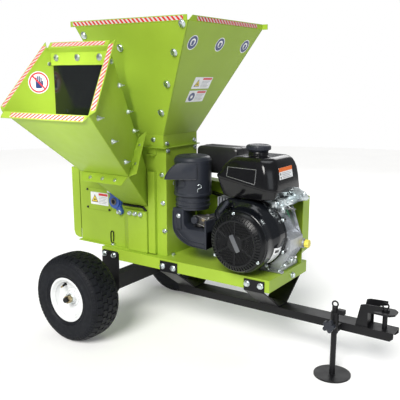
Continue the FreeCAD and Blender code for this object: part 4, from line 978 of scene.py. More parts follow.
# The blower housing is a drum that flares, along Y, to these radii at these angles.
DRUM_RADIUS, FLARE_START, FLARE_LENGTH = 108, -132, 34
SCROLL = ((-180, 108), (-90, 108), (-45, 109), (-15, 116), (15, 124), (45, 125.5), (70, 127),
          (90, 129.8), (104, 134), (122, 151), (136, 158), (150, 157), (158, 148), (168, 122),
          (180, 108))


def scroll(angle):
    """The radius of the blower housing at its engine end."""
    for (first, start), (last, end) in zip(SCROLL, SCROLL[1:]):
        if first <= angle <= last:
            t = (angle - first) / (last - first)
            return start + (end - start) * t * t * (3 - 2 * t)
    return SCROLL[0][1]


def shroud_radius(y, angle):
    """The radius of the blower housing at a distance along Y and an angle."""
    t = min(max((y - FLARE_START) / FLARE_LENGTH, 0), 1)
    wide = scroll((angle + 180) % 360 - 180)
    return DRUM_RADIUS + (wide - DRUM_RADIUS) * t * t * (3 - 2 * t)


# The angle and the place along Y of each lug with its screw.
SHROUD_LUGS = ((32, -60), (-20, -60), (-62, -60), (-118, -60), (172, -62))


def make_shroud():
    """The blower housing: a round drum that widens to a scroll at the engine's end."""
    centre = centre_of("recoil_cover")
    centre.y = 0
    near, back = span("blower_shroud")[0].y, span("blower_shroud")[1].y
    shell = Piece("shroud_shell", "chassis", engine_black)
    count = 120
    angles = [360 * k / count - 180 for k in range(count)]
    rings = [[around(centre, r, a, near + y) for a in angles]
             for y, r in ((4, 70), (0, 70), (0, 101.0), (0.5, 103.8), (2.2, 106.4), (5.5, 107.8))]
    places = (10, 24, 34, 39, 44, 49, 54, 59, 64, 68, 90)
    rings += [[around(centre, shroud_radius(near + y, a), a, near + y) for a in angles]
              for y in places]
    rings += [[around(centre, scroll(a) + lip, a, back + y) for a in angles]
              for y, lip in ((-10, 0), (-9, 2.4), (-7.6, 3.0), (-5.8, 3.0), (-5, 0.2), (0, 0),
                             (0, -4))]
    rings += [[around(centre, shroud_radius(near + y, a) - 4, a, near + y) for a in angles]
              for y in reversed(places[2:])]
    rings.append([around(centre, 103.5, a, near + 5) for a in angles])
    shell.loft(rings, closed=True)
    guide = centre_of("starter_grip")
    tab = Vector((guide.x, -126, guide.z - 1))
    shell.lathe([(-16, 0), (-16, 9), (20, 9), (23, 7), (23, 3), (12, 3)], tab, TO_NEAR, 28)
    for angle, y in SHROUD_LUGS:
        spot = around(centre, scroll(angle) + 5, angle, y)
        shell.lathe([(-8, 0), (-8, 8), (3, 8), (4.5, 7), (4.5, 0)], spot, TO_NEAR, 24)
    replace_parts(shell.build(), "blower_shroud")
    screws = Piece("shroud_screws", "chassis", zinc, print_white, print_grey, print_black)
    for angle, y in SHROUD_LUGS:
        screws.bolt(around(centre, scroll(angle) + 5, angle, y - 4.6), TO_NEAR, 5.2)

    def patch(first, last, start, end, lift, paint):
        """A sticker round the drum, from angle to angle and from start to end along Y."""
        steps = max(2, int(abs(last - first)) // 2)
        rings = []
        for k in range(steps + 1):
            a = first + (last - first) * k / steps
            run = [start + (end - start) * i / 6 for i in range(7)]
            rings.append([around(centre, shroud_radius(y, a) + lift, a, y) for y in run] +
                         [around(centre, shroud_radius(y, a) + lift + 0.4, a, y)
                          for y in reversed(run)])
        screws.loft(rings, paint)

    patch(-40, -8, -119, -81, 0.6, 1)
    patch(-17, -12, -113, -94, 1.0, 3)
    for k in range(5):
        patch(-22 - 3.4 * k, -20.6 - 3.4 * k, -115, -88 - 4 * (k % 2), 1.0, 2)
    screws.build()


def make_grip():
    """The starter's handle, and its rope, a fixed tube that runs out of the shroud to the handle.
    """
    centre = centre_of("starter_grip")
    centre.y = span("starter_grip")[0].y + 8
    lean = math.radians(38)
    along = Vector((math.sin(lean), 0, math.cos(lean)))
    grip = Piece("starter_handle", "starter_grip", plastic_black)
    grip.lathe([(-28, 0), (-27.6, 3), (-26, 5.6), (-22, 7.4), (-12, 8), (-9, 7.4), (-6, 7.9),
                (-3, 7.4), (0, 7.9), (3, 7.4), (6, 7.9), (9, 7.4), (12, 8), (22, 7.4), (26, 5.6),
                (27.6, 3), (28, 0)], centre, along, 28)
    grip.lathe([(0, 6.5), (8, 6), (13, 4.2), (14, 2.4), (14, 0)], centre, TO_FAR, 24)
    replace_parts(grip.build(), "starter_grip")
    rope = Piece("starter_rope", None, print_grey)
    steps = (-104, -118, -130, -140, -144, -148, -150, -153, -158)
    rope.tube([(centre.x, y, centre.z) for y in steps], 1.9, 12)
    item = rope.build()
    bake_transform(item)


def tank_ring(x0, x1, y0, y1, radius, z, slope):
    """A level of the tank: three round corners, one wide chamfer, and a share of the slope."""
    cut, ease = radius + 8, radius * 0.3
    points = []
    for x, y, turn in ((x1 - radius, y1 - radius, 0), (x0 + radius, y1 - radius, 90),
                       (x0 + radius, y0 + radius, 180)):
        for k in range(8):
            a = math.radians(turn + 90 * k / 7)
            points.append((x + radius * math.cos(a), y + radius * math.sin(a)))
    for x, y in ((-cut - ease, 0), (-cut - ease * 0.3, 0.04), (-cut + ease * 0.4, 0.12),
                 (-cut + ease, 0.32)):
        points.append((x1 + x, y0 + y * ease * 2))
    for x, y in ((0.32, cut - ease), (0.12, cut - ease * 0.4), (0.04, cut + ease * 0.3),
                 (0, cut + ease)):
        points.append((x1 - x * ease * 2, y0 + y))
    return [Vector((x, y, z - slope * (0.18 * (x - 587) + 0.085 * (y + 10)))) for x, y in points]


def make_tank():
    """The fuel tank with its neck, its plates, and the ribbed cap."""
    low, high = span("fuel_tank")
    x0, x1, y0, y1, z0 = low.x, high.x, low.y, high.y, low.z
    belt, height = 44, 138
    # Each level: how far the four sides move (x, x, y, y), the corners' radius, and the height.
    tank = Piece("tank_shell", "chassis", tank_black)
    shape = [(34, -22, 16, -16, 18, 0), (28, -16, 10, -10, 20, 1.5), (22, -11, 6, -6, 22, 6),
             (4, -2.5, 1, -1, 24, 39), (2.4, -1.8, 0.6, -0.6, 24, 40.6), (0.3, 0, 0, 0, 25, 41.2),
             (0.2, 0, 0, 0, 25, 46.2), (2.2, -1.8, 1.8, -1.8, 24, 47), (2.4, -1.9, 2, -2, 24, 52),
             (17, -5, 6, -6, 26, 84), (29, -9, 10, -10, 28, 106), (38, -14, 15, -15, 29, 119),
             (45, -20, 21, -21, 28, 128), (52, -28, 29, -29, 26, 134),
             (60, -36, 38, -38, 22, 137.2), (70, -48, 48, -48, 18, height)]
    tank.loft([tank_ring(x0 + a, x1 + b, y0 + c, y1 + d, r, z0 + h,
                         min(h / belt, (height - h) / (height - belt)))
               for a, b, c, d, r, h in shape])
    cap = centre_of("fuel_cap")
    tank.lathe([(-4, 0), (-4, 40), (-1.5, 38), (3, 34.5), (11, 34), (12.8, 33), (13.2, 30),
                (13.2, 0)],
               (cap.x, cap.y, z0 + height), "Z", 48)
    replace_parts(tank.build(), "fuel_tank")
    marks = Piece("tank_plates", "chassis", tank_black, print_silver, print_white, print_orange,
                  print_black, print_grey)

    def outward(corners):
        """The direction that a plate faces."""
        return (corners[1] - corners[0]).cross(corners[3] - corners[0]).normalized()

    def slab(corners, thick, paint):
        """A flat plate through four corners, with its thickness behind it."""
        marks.loft([corners, [corner - outward(corners) * thick for corner in corners]], paint)

    def inside(corners, low_u, high_u, low_v, high_v, lift):
        """The corners of a field on a plate; both directions run from 0 to 1."""
        a, b, c, d = corners
        return [a.lerp(b, u).lerp(d.lerp(c, u), v) + outward(corners) * lift
                for u, v in rectangle((low_u, low_v), (high_u, high_v))]

    plate = [Vector((x, y0 + inset - 0.9, z)) for x, inset, z in
             ((524, 2.3, 638), (635, 2.1, 618), (636, 9.7, 669), (525, 8.4, 670))]
    slab(plate, 3, 0)
    for field in ((0, 1, 0, 0.04), (0, 1, 0.96, 1), (0, 0.018, 0.04, 0.96), (0.982, 1, 0.04, 0.96)):
        slab(inside(plate, *field, 0.4), 0.5, 1)
    sticker = [Vector((x1 - inset + 1.1, y, z)) for inset, y, z in
               ((4.6, -66, 634), (4.9, 30, 634), (11.2, 30, 672), (10.9, -66, 672))]
    slab(sticker, 3, 2)
    slab(inside(sticker, 0, 1, 0.66, 1, 0.3), 0.4, 3)
    for low_v in (0.08, 0.38):
        slab(inside(sticker, 0.06, 0.13, low_v, low_v + 0.18, 0.3), 0.4, 4)
    for k in range(4):
        low_v = 0.08 + 0.14 * k
        slab(inside(sticker, 0.2, 0.88 - 0.1 * (k % 2), low_v, low_v + 0.06, 0.3), 0.4, 5)
    marks.build()
    lid = Piece("fuel_cap_ribbed", "fuel_cap", plastic_black)
    base = Vector((cap.x, cap.y, span("fuel_cap")[0].z))
    lid.lathe([(0, 0), (0, 33), (0.6, 34.5), (4.4, 36), (6, 40), (7.4, 41.2), (18, 41.2),
               (20.6, 40), (22.6, 36.5), (23.4, 32), (22.4, 30), (22.2, 0)], base, "Z", 60)
    for k in range(30):
        along, across = radial(12 * k)
        foot = base + along * 40
        lid.loft([[foot + across * s * 1.8 + along * d + Vector((0, 0, h))
                   for s, d in ((-1, 0), (1, 0), (0.6, 3), (-0.6, 3))]
                  for h in (7, 18.6)], bevel=0.4)
    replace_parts(lid.build(), "fuel_cap")


def make_air_cleaner():
    """The air cleaner's can with its inlet, clips and latches, and the duct under it."""
    neck_low, neck_high = span("intake_elbow")
    bottom, top = (corner.z for corner in span("air_cleaner"))
    centre = Vector((345, -60, 0))
    can = Piece("cleaner_body", "chassis", plastic_black, zinc)
    foot_profile = ((0, 0), (0, 60), (1, 66), (4, 69.2), (9, 70), (12, 69.6), (13, 68.2),
                    (120, 67.6), (121, 68.6), (131, 68.6), (133, 67))
    top_profile = ((-7, 64.5), (-3, 61), (0, 54), (-0.8, 50), (-1.4, 0))
    can.lathe([(bottom + h, r) for h, r in foot_profile] + [(top + h, r) for h, r in top_profile],
              centre, "Z", 84)
    for k in range(16):
        along, across = radial(22.5 * k)
        foot = centre + Vector((0, 0, top - 1.6))
        can.loft([[foot + along * r + across * s * 1.3 + Vector((0, 0, h))
                   for s, h in ((-1, 0), (1, 0), (1, 1.2), (-1, 1.2))]
                  for r in (16, 46)])
    can.lathe([(top - 1.6, 0), (top - 1.6, 13), (top - 0.2, 13), (top - 0.2, 0)], centre, "Z", 24)
    along, across = radial(213.9)
    outline = [(-14, 615), (-9, 612.5), (100, 614), (97, 622), (92, 632), (84, 644), (74, 655),
               (62, 664), (50, 669), (40, 671), (-8, 671), (-13, 668), (-15, 662), (-15, 622)]
    outer = [[centre + along * d + across * h + Vector((0, 0, z)) for d, z in outline]
             for h in (36, 73)]
    can.loft(outer, bevel=3.0)
    rim = [centre + along * d + across * 73.2 + Vector((0, 0, z)) for d, z in outline]
    can.tube(rim + rim[:1], 1.1, 8)

    def wall(degrees, z, lift=0.0):
        """A point on the can's side."""
        return centre + radial(degrees)[0] * (68.2 + lift) + Vector((0, 0, z))

    facing = -56.1
    for wide, tall, lift, thick in ((22, 18, 0.2, 1.1), (18, 14, 0.1, 0.7)):
        can.tube([wall(facing - 44 + wide * math.cos(t), 595 + tall * math.sin(t), lift)
                  for t in (2 * math.pi * k / 40 for k in range(41))], thick, 6)
    for swing in (20, 140, 260):
        hook = facing + swing
        clip = ((-5, 567, 1), (-5, 577, 2), (-1, 580, 5), (5, 583, 4), (5, 590, 3), (0, 594, 2.4),
                (-5, 591, 1.6))
        can.tube(curve([wall(hook + a, z, lift) for a, z, lift in clip], 5), 1.4, 8, 1)
        latch = hook + 42
        for side in (-2.6, 2.6):
            wire = ((side, 563, 1.4), (side, 578, 3.4), (side * 0.4, 600, 2))
            can.tube(curve([wall(latch + a, z, lift) for a, z, lift in wire], 5), 1.3, 8)
        can.loft([[wall(latch + w, 584 + h, lift) for w, h in rectangle((-4, -6), (4, 6))]
                  for lift in (2.4, 4.6)], 0, 0.5)
    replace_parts(can.build(), "air_cleaner")

    duct = Piece("intake_duct_shell", "chassis", plastic_black, zinc)
    rings = [(0, 0), (0, 61), (-14, 61.6), (-15, 63.4), (-19, 63.6), (-20, 61.4), (-31, 61.2),
             (-32, 63.6), (-37, 63.8), (-38, 60.4), (-47, 60), (-47, 0)]
    duct.lathe(rings, centre + Vector((0, 0, neck_high.z)), "Z", 72)
    near, far = neck_low.y, -46
    bend = [(298, 503), (298, 436), (301, 422), (308, 408), (319, 395.5), (334, 384.5), (354, 375),
            (378, 369.5), (410, 366.8), (446, 366), (446, 431), (372, 431), (358, 434), (350, 442),
            (347, 454), (346, 503)]
    duct.prism(bend, "Y", near, far, 2.4)
    for inset, rise in ((0, 1.2), (15, 0.6)):
        line = [(300 + inset, 492), (300 + inset, 438 + inset * 0.2),
                (309 + inset, 410 + inset * 0.5), (333 + inset * 0.6, 387 + inset * 0.8),
                (376 + inset * 0.2, 371.5 + inset), (444, 368.5 + inset)]
        duct.tube(curve([(x, near - rise, z) for x, z in line], 7), 1.9, 8)
    duct.prism(rounded((318, 426), (337, 492), 3), "Y", near - 4.6, near + 1, 1.2)
    duct.bolt((327.5, near - 4.6, 476), TO_NEAR, 6.2, 1)
    duct.block((438, near - 3.2, 366.4), (446, far, 470), 1.2)
    duct.block((291, -104, 462), (299, -76, 498), 1.2)
    duct.bolt((291, -92, 484), (-1, 0, 0), 6.4, 1)
    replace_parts(duct.build(), "intake_elbow")


def make_carburettor():
    """The carburettor's body, bowl, choke and idle screw, its rods, and its flange block."""
    low, high = span("carburettor")
    body = Piece("carburettor_parts", "chassis", iron, brass, steel, plastic_black)
    body.block((366, -88, 444), (436, -54, 476), 3)
    body.lathe([(-3, 0), (-3, 15), (1, 15.5), (1, 18.5), (4, 18.5), (4, 14), (9, 14)],
               (low.x + 28, -72, 438), "Z", 36)
    body.lathe([(433, 0), (433, 3), (437, 3)], (low.x + 28, -72, 0), "Z", 16, 1)
    body.lathe([(0, 0), (0, 14), (12, 14), (14, 12), (14, 0)], (378, -88.5, 461), TO_NEAR, 32, 3)
    body.lathe([(0, 0), (0, 7), (3, 7), (3.6, 5), (3.6, 0)], (410, -88.5, 466), TO_NEAR, 24, 1)
    body.lathe([(0, 4), (16, 4), (17, 3), (17, 0)], (426, -88, 452), TO_NEAR, 18, 1)
    body.tube(curve([(372, -94, 474), (386, -96, 478), (404, -96, 474), (420, -95, 469),
                     (434, -92, 471)]), 1.5, 8, 2)
    body.tube(curve([(380, -95, 447), (392, -97, 449), (408, -97, 446), (424, -95, 442)]), 1.7, 8,
              2)
    for x, z in ((370, 448), (432, 448), (370, 472), (432, 472)):
        body.bolt((x, -88, z), TO_NEAR, 3.6, 2, domed=True)
    body.block((low.x + 36, -56, 448), (high.x - 0.2, 18, 474), 3, 3)
    body.block((400, -60, 441), (414, -50, 479), 1.5, 0)
    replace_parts(body.build(), "carburettor")


def make_muffler():
    """The muffler's pressed shell, its louvres and its pipe."""
    low, high = span("muffler")
    y0, y1 = low.y, high.y
    can = Piece("muffler_shell", "chassis", muffler_black, zinc)
    outline = rounded((288, 612), (468, 712), 17, 5)
    mid_x, mid_z = 378, 662
    rings = []
    for y, shrink in ((y0, 9), (y0 + 1.5, 4), (y0 + 5, 1), (y0 + 10, 0), (90, 0), (90.6, 0),
                      (y1 - 12, 0), (y1 - 5, 1.4), (y1 - 1.6, 5), (y1, 10)):
        rings.append([Vector((mid_x + (x - mid_x) * (1 - shrink / 90), y,
                              mid_z + (z - mid_z) * (1 - shrink / 50)))
                      for x, z in outline])
    can.loft(rings)
    seam = [Vector((mid_x + (x - mid_x) * 0.999, 92.5, mid_z + (z - mid_z) * 0.998))
            for x, z in outline]
    can.tube(seam + seam[:1], 1.4, 8)
    for row in range(5):
        for column in range(3):
            x, z = 308 + 50 * column, 632 + 14 * row
            can.prism(rounded((x, z), (x + 38, z + 6), 2.8), "Y", y1 - 3, y1 - 0.2, 1.0)
    for x, z in rectangle((300, 624), (456, 700)):
        can.bolt((x, y1 - 9, z), TO_FAR, 5, 1)
    can.tube(curve([(455, 58, 545), (455, 58, 575), (455, 58, 600), (455, 60, 616)], 6), 13, 24)
    can.lathe([(0, 13.5), (0, 20), (5, 20), (5, 13.5)], (455, 58, 546), "Z", 28, closed=True)
    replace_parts(can.build(), "muffler")


def make_block_details():
    """Ribs, bolts, wires and the oil filler on the crankcase, and the dipstick's cap."""
    case = Piece("crankcase_details", "chassis", aluminium, zinc, wire_green, steel)
    for y in (-44, -26, -8, 10, 28):
        case.prism([(699, 326), (706, 326), (722, 360), (741, 390), (735, 392), (716, 362)], "Y", y,
                   y + 4, 0.8)
    for y in (-36, 2, 34):
        case.prism([(702, 452), (706, 455), (684, 498), (676, 498)], "Y", y, y + 4, 0.8)
    case.prism(rounded((-48, 350), (40, 384), 5), "X", 712, 716.5, 1.2)
    for y, z in ((-38, 336), (4, 340), (36, 336)):
        case.bolt((706 + (z - 321) * 0.4, y, z), (1, 0, -0.46), 6.2, 1)
    case.lathe([(-6, 0), (-6, 15), (4, 15), (6, 12), (6, 0)], (712, -4, 351), (1, 0, -0.4), 28)
    case.bolt((717, -4, 349), (1, 0, -0.4), 9, 1)
    case.block((640, -60, 308.4), (712, -40, 316), 2)
    case.block((515, -60, 308.4), (560, -40, 316), 2)
    for x in (534, 656, 698):
        case.bolt((x, -50, 316), UP, 7.4, 1)
    for x in (534, 690):
        case.bolt((x, 80, 322), UP, 7.4, 1)
    for k in range(8):
        case.bolt(around(CRANKSHAFT, 91, 22.5 + 45 * k, 72), TO_FAR, 5.6, 1)
    for x, z in ((684, 342), (716, 386), (730, 416), (690, 462), (668, 506)):
        case.lathe([(-40, 0), (-40, 8), (0, 8), (1, 7), (1, 0)], (x, 20, z), "Y", 24)
        case.bolt((x, 21, z), TO_NEAR, 5.2, 1)
    for line, thick in (
            ([(678, 30, 519), (690, 40, 480), (694, 46, 452), (704, 50, 430), (721, 50, 416)], 2.1),
            ([(702, 44, 426), (712, 50, 420), (724, 53, 413), (736, 53, 410)], 2.1),
            ([(672, 20, 524), (670, 10, 512), (676, 2, 498), (686, -4, 488)], 2.0)):
        case.tube(curve(line), thick, 10, 2)
    case.lathe([(-8, 17.4), (0, 17.4), (2, 16.4), (8, 16.4), (10, 17.6), (24, 17.6), (27, 16)],
               (712, 58, 396), "X", 32)
    case.build()
    centre = centre_of("dipstick")
    centre.x = span("dipstick")[1].x - 16
    cap = Piece("dipstick_cap", "dipstick", yellow)
    points = [(centre.y + r * math.cos(a), centre.z + r * math.sin(a))
              for r, a in ((13.9 + math.cos(8 * a), a)
                           for a in (2 * math.pi * k / 40 for k in range(40)))]
    cap.prism(points, "X", centre.x + 0.2, centre.x + 15.4, 1.4)
    cap.lathe([(0, 0), (0, 9), (0.8, 9), (0.8, 0)], (centre.x + 15, centre.y, centre.z), "X", 28)
    cap.lathe([(-36, 0), (-36, 4.8), (0, 4.8)], centre, "X", 20)
    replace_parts(cap.build(), "dipstick")


def spring(piece, start, end, radius, turns, wire, paint=0):
    """A coil with straight hooks, from point to point."""
    start, end = Vector(start), Vector(end)
    across, up, along = axes_along(end - start)
    length = (end - start).length
    points = [start]
    for k in range(turns * 14 + 1):
        a = 2 * math.pi * k / 14
        points.append(start + along * length * (0.16 + 0.68 * k / (turns * 14))
                      + (across * math.cos(a) + up * math.sin(a)) * radius)
    piece.tube(points + [end], wire, 6, paint)


def make_control_details():
    """The governor's plates, springs and rods, with the throttle lever and the governor arm."""
    near = span("control_bracket")[0].y
    plates = Piece("control_parts", "chassis", zinc, steel, print_black, plastic_black)
    plates.prism([(640, 552), (662, 588), (690, 598), (722, 596), (748, 584), (764, 566),
                  (756, 556), (724, 548), (700, 532), (668, 528), (646, 536)], "Y", 30, 33, 0.8)
    plates.prism([(628, 528), (636, 556), (664, 560), (704, 560), (712, 540), (700, 526)], "Y",
                 near - 3.4, near - 0.6, 0.8)
    plates.block((652, -44, 566), (708, 30, 568.6), 1.0)
    plates.block((706, -44, 540), (709, 30, 568), 1.0)
    plates.lathe([(0, 0), (0, 16), (3, 17), (9, 15), (12, 9), (12.6, 0)], (676, near - 3.4, 546),
                 TO_NEAR, 36)
    for place, outward, size, domed in (
            ((644, near - 3.4, 540), TO_NEAR, 5.4, False),
            ((706, near - 3.4, 532), TO_NEAR, 5.4, False), ((660, -20, 568.6), UP, 5.2, False),
            ((694, 14, 568.6), UP, 5.2, False), ((742, 30, 574), TO_NEAR, 6.0, False),
            ((709, -22, 552), TO_HITCH, 5.4, False), ((709, 10, 552), TO_HITCH, 4.6, True)):
        plates.bolt(place, outward, size, domed=domed)
    rod = ((575, 6, 542), (600, 6, 540), (640, 6, 541), (672, 5, 544), (690, 5, 546))
    plates.tube([(x, near - away, z) for x, away, z in rod], 1.4, 8, 1)
    spring(plates, (694, -38, 536), (716, 30, 520), 4.2, 9, 1.0, 1)
    spring(plates, (586, near - 5, 548), (634, near - 5, 550), 3.4, 10, 0.9, 1)
    plates.lathe([(0, 3.2), (0, 5.4), (8, 5.4), (8, 3.2)], (560, near - 7, 541), "X", 20,
                 closed=True, paint=1)
    plates.build()
    pivot = Vector((700, span("throttle_lever")[0].y, 545))
    lever = Piece("throttle_parts", "throttle_lever", zinc, print_black)
    lever.lathe([(0, 0), (0, 6.8), (1, 7), (6.4, 7), (6.4, 0)], pivot, "Y", 28)
    blade = [(696, 541), (728, 541.4), (732, 543), (734, 545), (732, 547.4), (728, 549), (696, 549)]
    lever.prism(blade, "Y", pivot.y + 1, pivot.y + 3.6, 0.5)
    lever.bolt((pivot.x, pivot.y + 0.2, pivot.z), TO_NEAR, 4.2, washer=False)
    lever.lathe([(0, 0), (0, 3.4), (-3, 3.6), (-3.4, 0)], (728, pivot.y + 1.4, 545), "Y", 18, 1)
    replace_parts(lever.build(), "throttle_lever")
    arm = Piece("governor_parts", "governor_arm", aluminium, zinc)
    arm.prism([(718, 412), (727, 410), (734, 418), (733, 426), (721, 455), (697, 523), (691, 527),
               (685, 523), (686, 517), (709, 448), (716, 424)], "Y", 48, 51, 0.7)
    arm.lathe([(0, 0), (0, 8.4), (4.4, 8.4), (5, 7.4), (5, 0)], (726, 48, 422), "Y", 28)
    arm.bolt((726, 48, 422), TO_NEAR, 5.2, 1)
    arm.bolt((691, 48, 520), TO_NEAR, 3.0, 1, washer=False)
    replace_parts(arm.build(), "governor_arm")


def make_switch():
    """The red rocker and the four bars of the frame round it."""
    low, high = span("engine_switch")
    rocker = Piece("switch_rocker", "engine_switch", plastic_black, print_red)
    rocker.block(low, high, 1.6, 1)
    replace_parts(rocker.build(), "engine_switch")
    frame_piece = Piece("switch_frame", "chassis", plastic_black)
    for bar_low, bar_high in (((low.x - 4, low.z - 4), (high.x + 4, low.z - 0.6)),
                              ((low.x - 4, high.z + 0.6), (high.x + 4, high.z + 4)),
                              ((low.x - 4, low.z - 4), (low.x - 0.6, high.z + 4)),
                              ((high.x + 0.6, low.z - 4), (high.x + 4, high.z + 4))):
        frame_piece.prism(rectangle(bar_low, bar_high), "Y", -104.5, -97, 0.8)
    frame_piece.build()


make_recoil()
make_shroud()
make_grip()
make_tank()
make_air_cleaner()
make_carburettor()
make_muffler()
make_block_details()
make_control_details()
make_switch()


# --- belts, curtain, seal and fittings ------------------------------------------------------------

def belt_line(first, first_radius, second, second_radius, steps=26, marks=12):
    """Points and outward angles of a belt round two pulleys, with marks along its straights."""
    heading = math.degrees(math.atan2(second.z - first.z, second.x - first.x))
    apart = (second - first).length
    spread = math.degrees(math.acos((first_radius - second_radius) / apart))
    places = []
    for centre, radius, other, other_radius, begin, turn in (
            (second, second_radius, first, first_radius, heading - spread, 2 * spread),
            (first, first_radius, second, second_radius, heading + spread, 360 - 2 * spread)):
        angles = [begin + turn * k / steps for k in range(steps + 1)]
        places += [(around(centre, radius, a), a) for a in angles]
        leave, arrive = around(centre, radius, angles[-1]), around(other, other_radius, angles[-1])
        places += [(leave.lerp(arrive, k / marks), angles[-1]) for k in range(1, marks)]
    return places


# The belt's section: (away from the pulley's rim, along Y).
VEE = ((0, 0.6), (-0.6, 0), (-2, 0.2), (-9, 2.4), (-9, 8.6), (-2, 10.8), (-0.6, 11), (0, 10.4))


def make_belts():
    """Two vee belts round the crankshaft's and the rotor's pulley."""
    low, high = span("drive_belts")
    belts = Piece("vee_belts", "chassis", sheet_rubber)
    for y in (low.y, high.y - 11):
        rings = []
        for spot, a in belt_line(ROTOR, 74, CRANKSHAFT, 49):
            out = around(Vector(), 1, a)
            rings.append([spot + out * r + Vector((0, y + w, 0)) for r, w in VEE])
        belts.loft(rings, closed=True, caps=False)
    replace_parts(belts.build(), "drive_belts")


def make_curtain():
    """The rubber flap that hangs from the clamp, with a slight curl across and down."""
    low, high = span("rubber_curtain")
    flap = Piece("curtain_flap", "curtain", gloss_rubber)
    across, down = 16, 15
    rings = []
    for step in range(down):
        t = step / (down - 1)
        z = high.z - (high.z - low.z) * t
        front = []
        for k in range(across + 1):
            u = k / across
            curl = 0.9 * t * t * math.cos(2 * math.pi * u)
            front.append(Vector((low.x + (high.x - low.x) * u, low.y + 1.2 + curl, z)))
        rings.append(front + [spot + Vector((0, 1.6, 0)) for spot in reversed(front)])
    flap.loft(rings)
    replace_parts(flap.build(), "rubber_curtain")


def make_seal():
    """The rubber bead along the edge of the throat."""
    seal = Piece("seal_bead", "chassis", sheet_rubber)
    y = span("throat_seal")[0].y + 4.4
    line = ((52, 483.4), (100, 483.2), (144, 483.2), (153, 479), (163, 470), (172, 460))
    seal.tube(curve([(x, y, z) for x, z in line], 6), 4.6, 12)
    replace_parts(seal.build(), "throat_seal")


def make_hairpin():
    """A wire clip through the inspection cover's latch."""
    pin = Piece("hairpin", "chassis", black_frame, zinc)
    y = span("inspection_cover")[1].y - 2.6
    loop = ((-20, 322), (-21, 346), (-19, 362), (-13, 366), (-7, 362), (-6, 346), (-7, 326))
    pin.tube(curve([(x, y, z) for x, z in loop], 7), 2.2, 10)
    pin.tube([(-20, y, 322), (-14, y, 319), (-7, y, 320)], 2.2, 10)
    pin.build()


def loose_parts(node):
    """Centre, axis, half length and radius of every separate round body of a node."""
    mesh = bmesh.new()
    mesh.from_mesh(NODES[node].data)
    mesh.transform(NODES[node].matrix_world)
    bmesh.ops.remove_doubles(mesh, verts=mesh.verts, dist=0.00002)
    mesh.normal_update()
    parts, seen = [], set()
    for seed in mesh.verts:
        if seed in seen:
            continue
        group, queue = {seed}, [seed]
        while queue:
            for edge in queue.pop().link_edges:
                for vertex in edge.verts:
                    if vertex not in group:
                        group.add(vertex)
                        queue.append(vertex)
        seen |= group
        areas = {}
        for face in {face for vertex in group for face in vertex.link_faces}:
            way = face.normal if face.normal.dot(Vector((0.31, 0.52, 0.79))) > 0 else -face.normal
            key = tuple(round(amount, 2) for amount in way)
            areas[key] = areas.get(key, 0) + face.calc_area()
        axis = Vector(max(areas, key=areas.get)).normalized()
        spots = [(vertex.co - START) / MM for vertex in group]
        centre = sum(spots, Vector()) / len(spots)
        half = max(abs((spot - centre).dot(axis)) for spot in spots)
        radius = max(((spot - centre) - axis * (spot - centre).dot(axis)).length for spot in spots)
        parts.append((centre, axis, half, radius))
    mesh.free()
    return parts


def make_bolt_heads():
    """A washer face and a hexagon on both ends of every bolt of the CAD node."""
    heads = Piece("bolt_heads", "chassis", zinc)
    for centre, axis, half, radius in loose_parts("bolts"):
        for way in (axis, -axis):
            washer = ((0, 1), (0.32, 1), (0.42, 0.92), (0.42, 0))
            heads.lathe([(half * h, radius * share) for h, share in washer], centre, way, 20)
            axes = axes_along(way)
            heads.loft([hoop(centre + axes[2] * half * share, axes, radius * 0.84, 6, 16)
                        for share in (0.4, 0.99)], bevel=radius * 0.1)
    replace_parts(heads.build(), "bolts")


def make_wings():
    """Wing nuts on the chute's sides, with their wings level."""
    nuts = Piece("wing_nut_shapes", "chassis", zinc)
    blade = [(3, 1.8), (9, 2.6), (16, 6), (20, 10), (19.4, 13.6), (15.5, 14.4), (10, 11), (5, 9)]
    hub = [(0, 0), (0, 9), (1.5, 9), (1.8, 8.4), (1.8, 7), (8.6, 5.4), (9.4, 4.6), (9.4, 3.6),
           (14, 3.5), (14.4, 0)]
    for centre, axis, half, _ in loose_parts("wing_nuts"):
        out = axis if axis.x * (centre.x - chute_middle) > 0 else -axis
        level = Vector(UP).cross(out).normalized()
        seat = centre - out * (half - 4)
        nuts.lathe(hub, seat, out, 28)
        for way in (-1, 1):
            rings = [[seat + level * r * way + out * h + level.cross(out) * t for r, h in blade]
                     for t in (-1.4, 1.4)]
            nuts.loft(rings, bevel=0.6)
    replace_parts(nuts.build(), "wing_nuts")


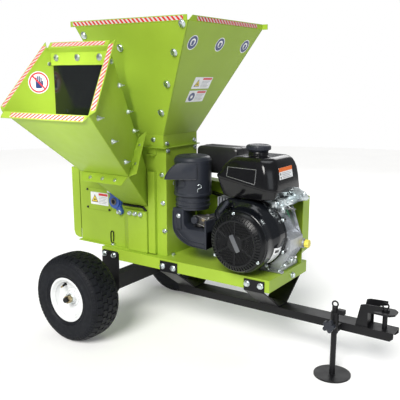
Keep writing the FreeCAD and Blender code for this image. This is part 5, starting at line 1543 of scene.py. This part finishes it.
def make_guard_bolts():
    far = span("belt_guard")[1].y
    bolts = Piece("guard_bolts", "chassis", zinc)
    for x, z in ((-52, 566), (-52, 424), (300, 392), (300, 556), (686, 526), (686, 356)):
        bolts.bolt((x, far, z), TO_FAR, 6.2)
    bolts.build()


def make_shaft_end():
    """The rotor shaft's chamfered end, with its centre hole drawn as a flat disc in painted shade.
    """
    centre = centre_of("rotor_shaft")
    centre.y = span("rotor_shaft")[0].y
    cap = Piece("shaft_end", "rotor", iron, painted_hole_shade)
    cap.lathe([(-1, 14), (0.6, 14), (1.2, 13), (1.2, 9), (0.4, 8.6), (-1, 8.6)], centre, TO_NEAR,
              32, closed=True)
    # The centre hole: a flat disc in painted shade, not a real hole.
    cap.lathe([(-1, 0), (-1, 8.6), (0.3, 8.6), (0.3, 0)], centre, TO_NEAR, 24, 1)
    cap.build()


def weld_bead(piece, points, radius=2.2, pitch=3.2):
    """Overlapping drops along a line."""
    points = [Vector(p) for p in points]
    for start, end in zip(points, points[1:]):
        count = 2 * max(2, int((end - start).length / pitch))
        axes = axes_along(end - start)
        piece.loft([hoop(start.lerp(end, k / count), axes, radius * (1.0 if k % 2 else 0.78), 8)
                    for k in range(count + 1)])


def make_welds():
    """Stitch welds on the housing and on the tow bar."""
    beads = Piece("weld_beads", "chassis", lime)
    face = span("inspection_cover")[1].y
    for x, marks in ((183, ((350, 364), (420, 432), (500, 514), (590, 602))),
                     (213, ((340, 352), (470, 482), (600, 612))), (53, ((330, 342), (400, 414)))):
        for low, high in marks:
            weld_bead(beads, [(x, face - 0.8, low), (x, face - 0.8, high)], 2.4)
    throat = [(111 + x, face - 1, z) for x, z in ((-61, 486), (-48, 622), (48, 622), (61, 486))]
    weld_bead(beads, throat[:2], 2.0)
    weld_bead(beads, throat[2:], 2.0)
    weld_bead(beads, [(-180, face - 1, 311.4), (40, face - 1, 311.4)], 2.0)
    beads.build()
    black = Piece("frame_welds", "chassis", black_frame)
    for start, end in ((256, 330), (616, 690), (972, 1008)):
        for y in (-33, 33):
            weld_bead(black, [(start, y, 178), (end, y, 178)], 2.0)
    black.build()


make_belts()
make_curtain()
make_seal()
make_hairpin()
make_bolt_heads()
make_wings()
make_guard_bolts()
make_shaft_end()
make_welds()
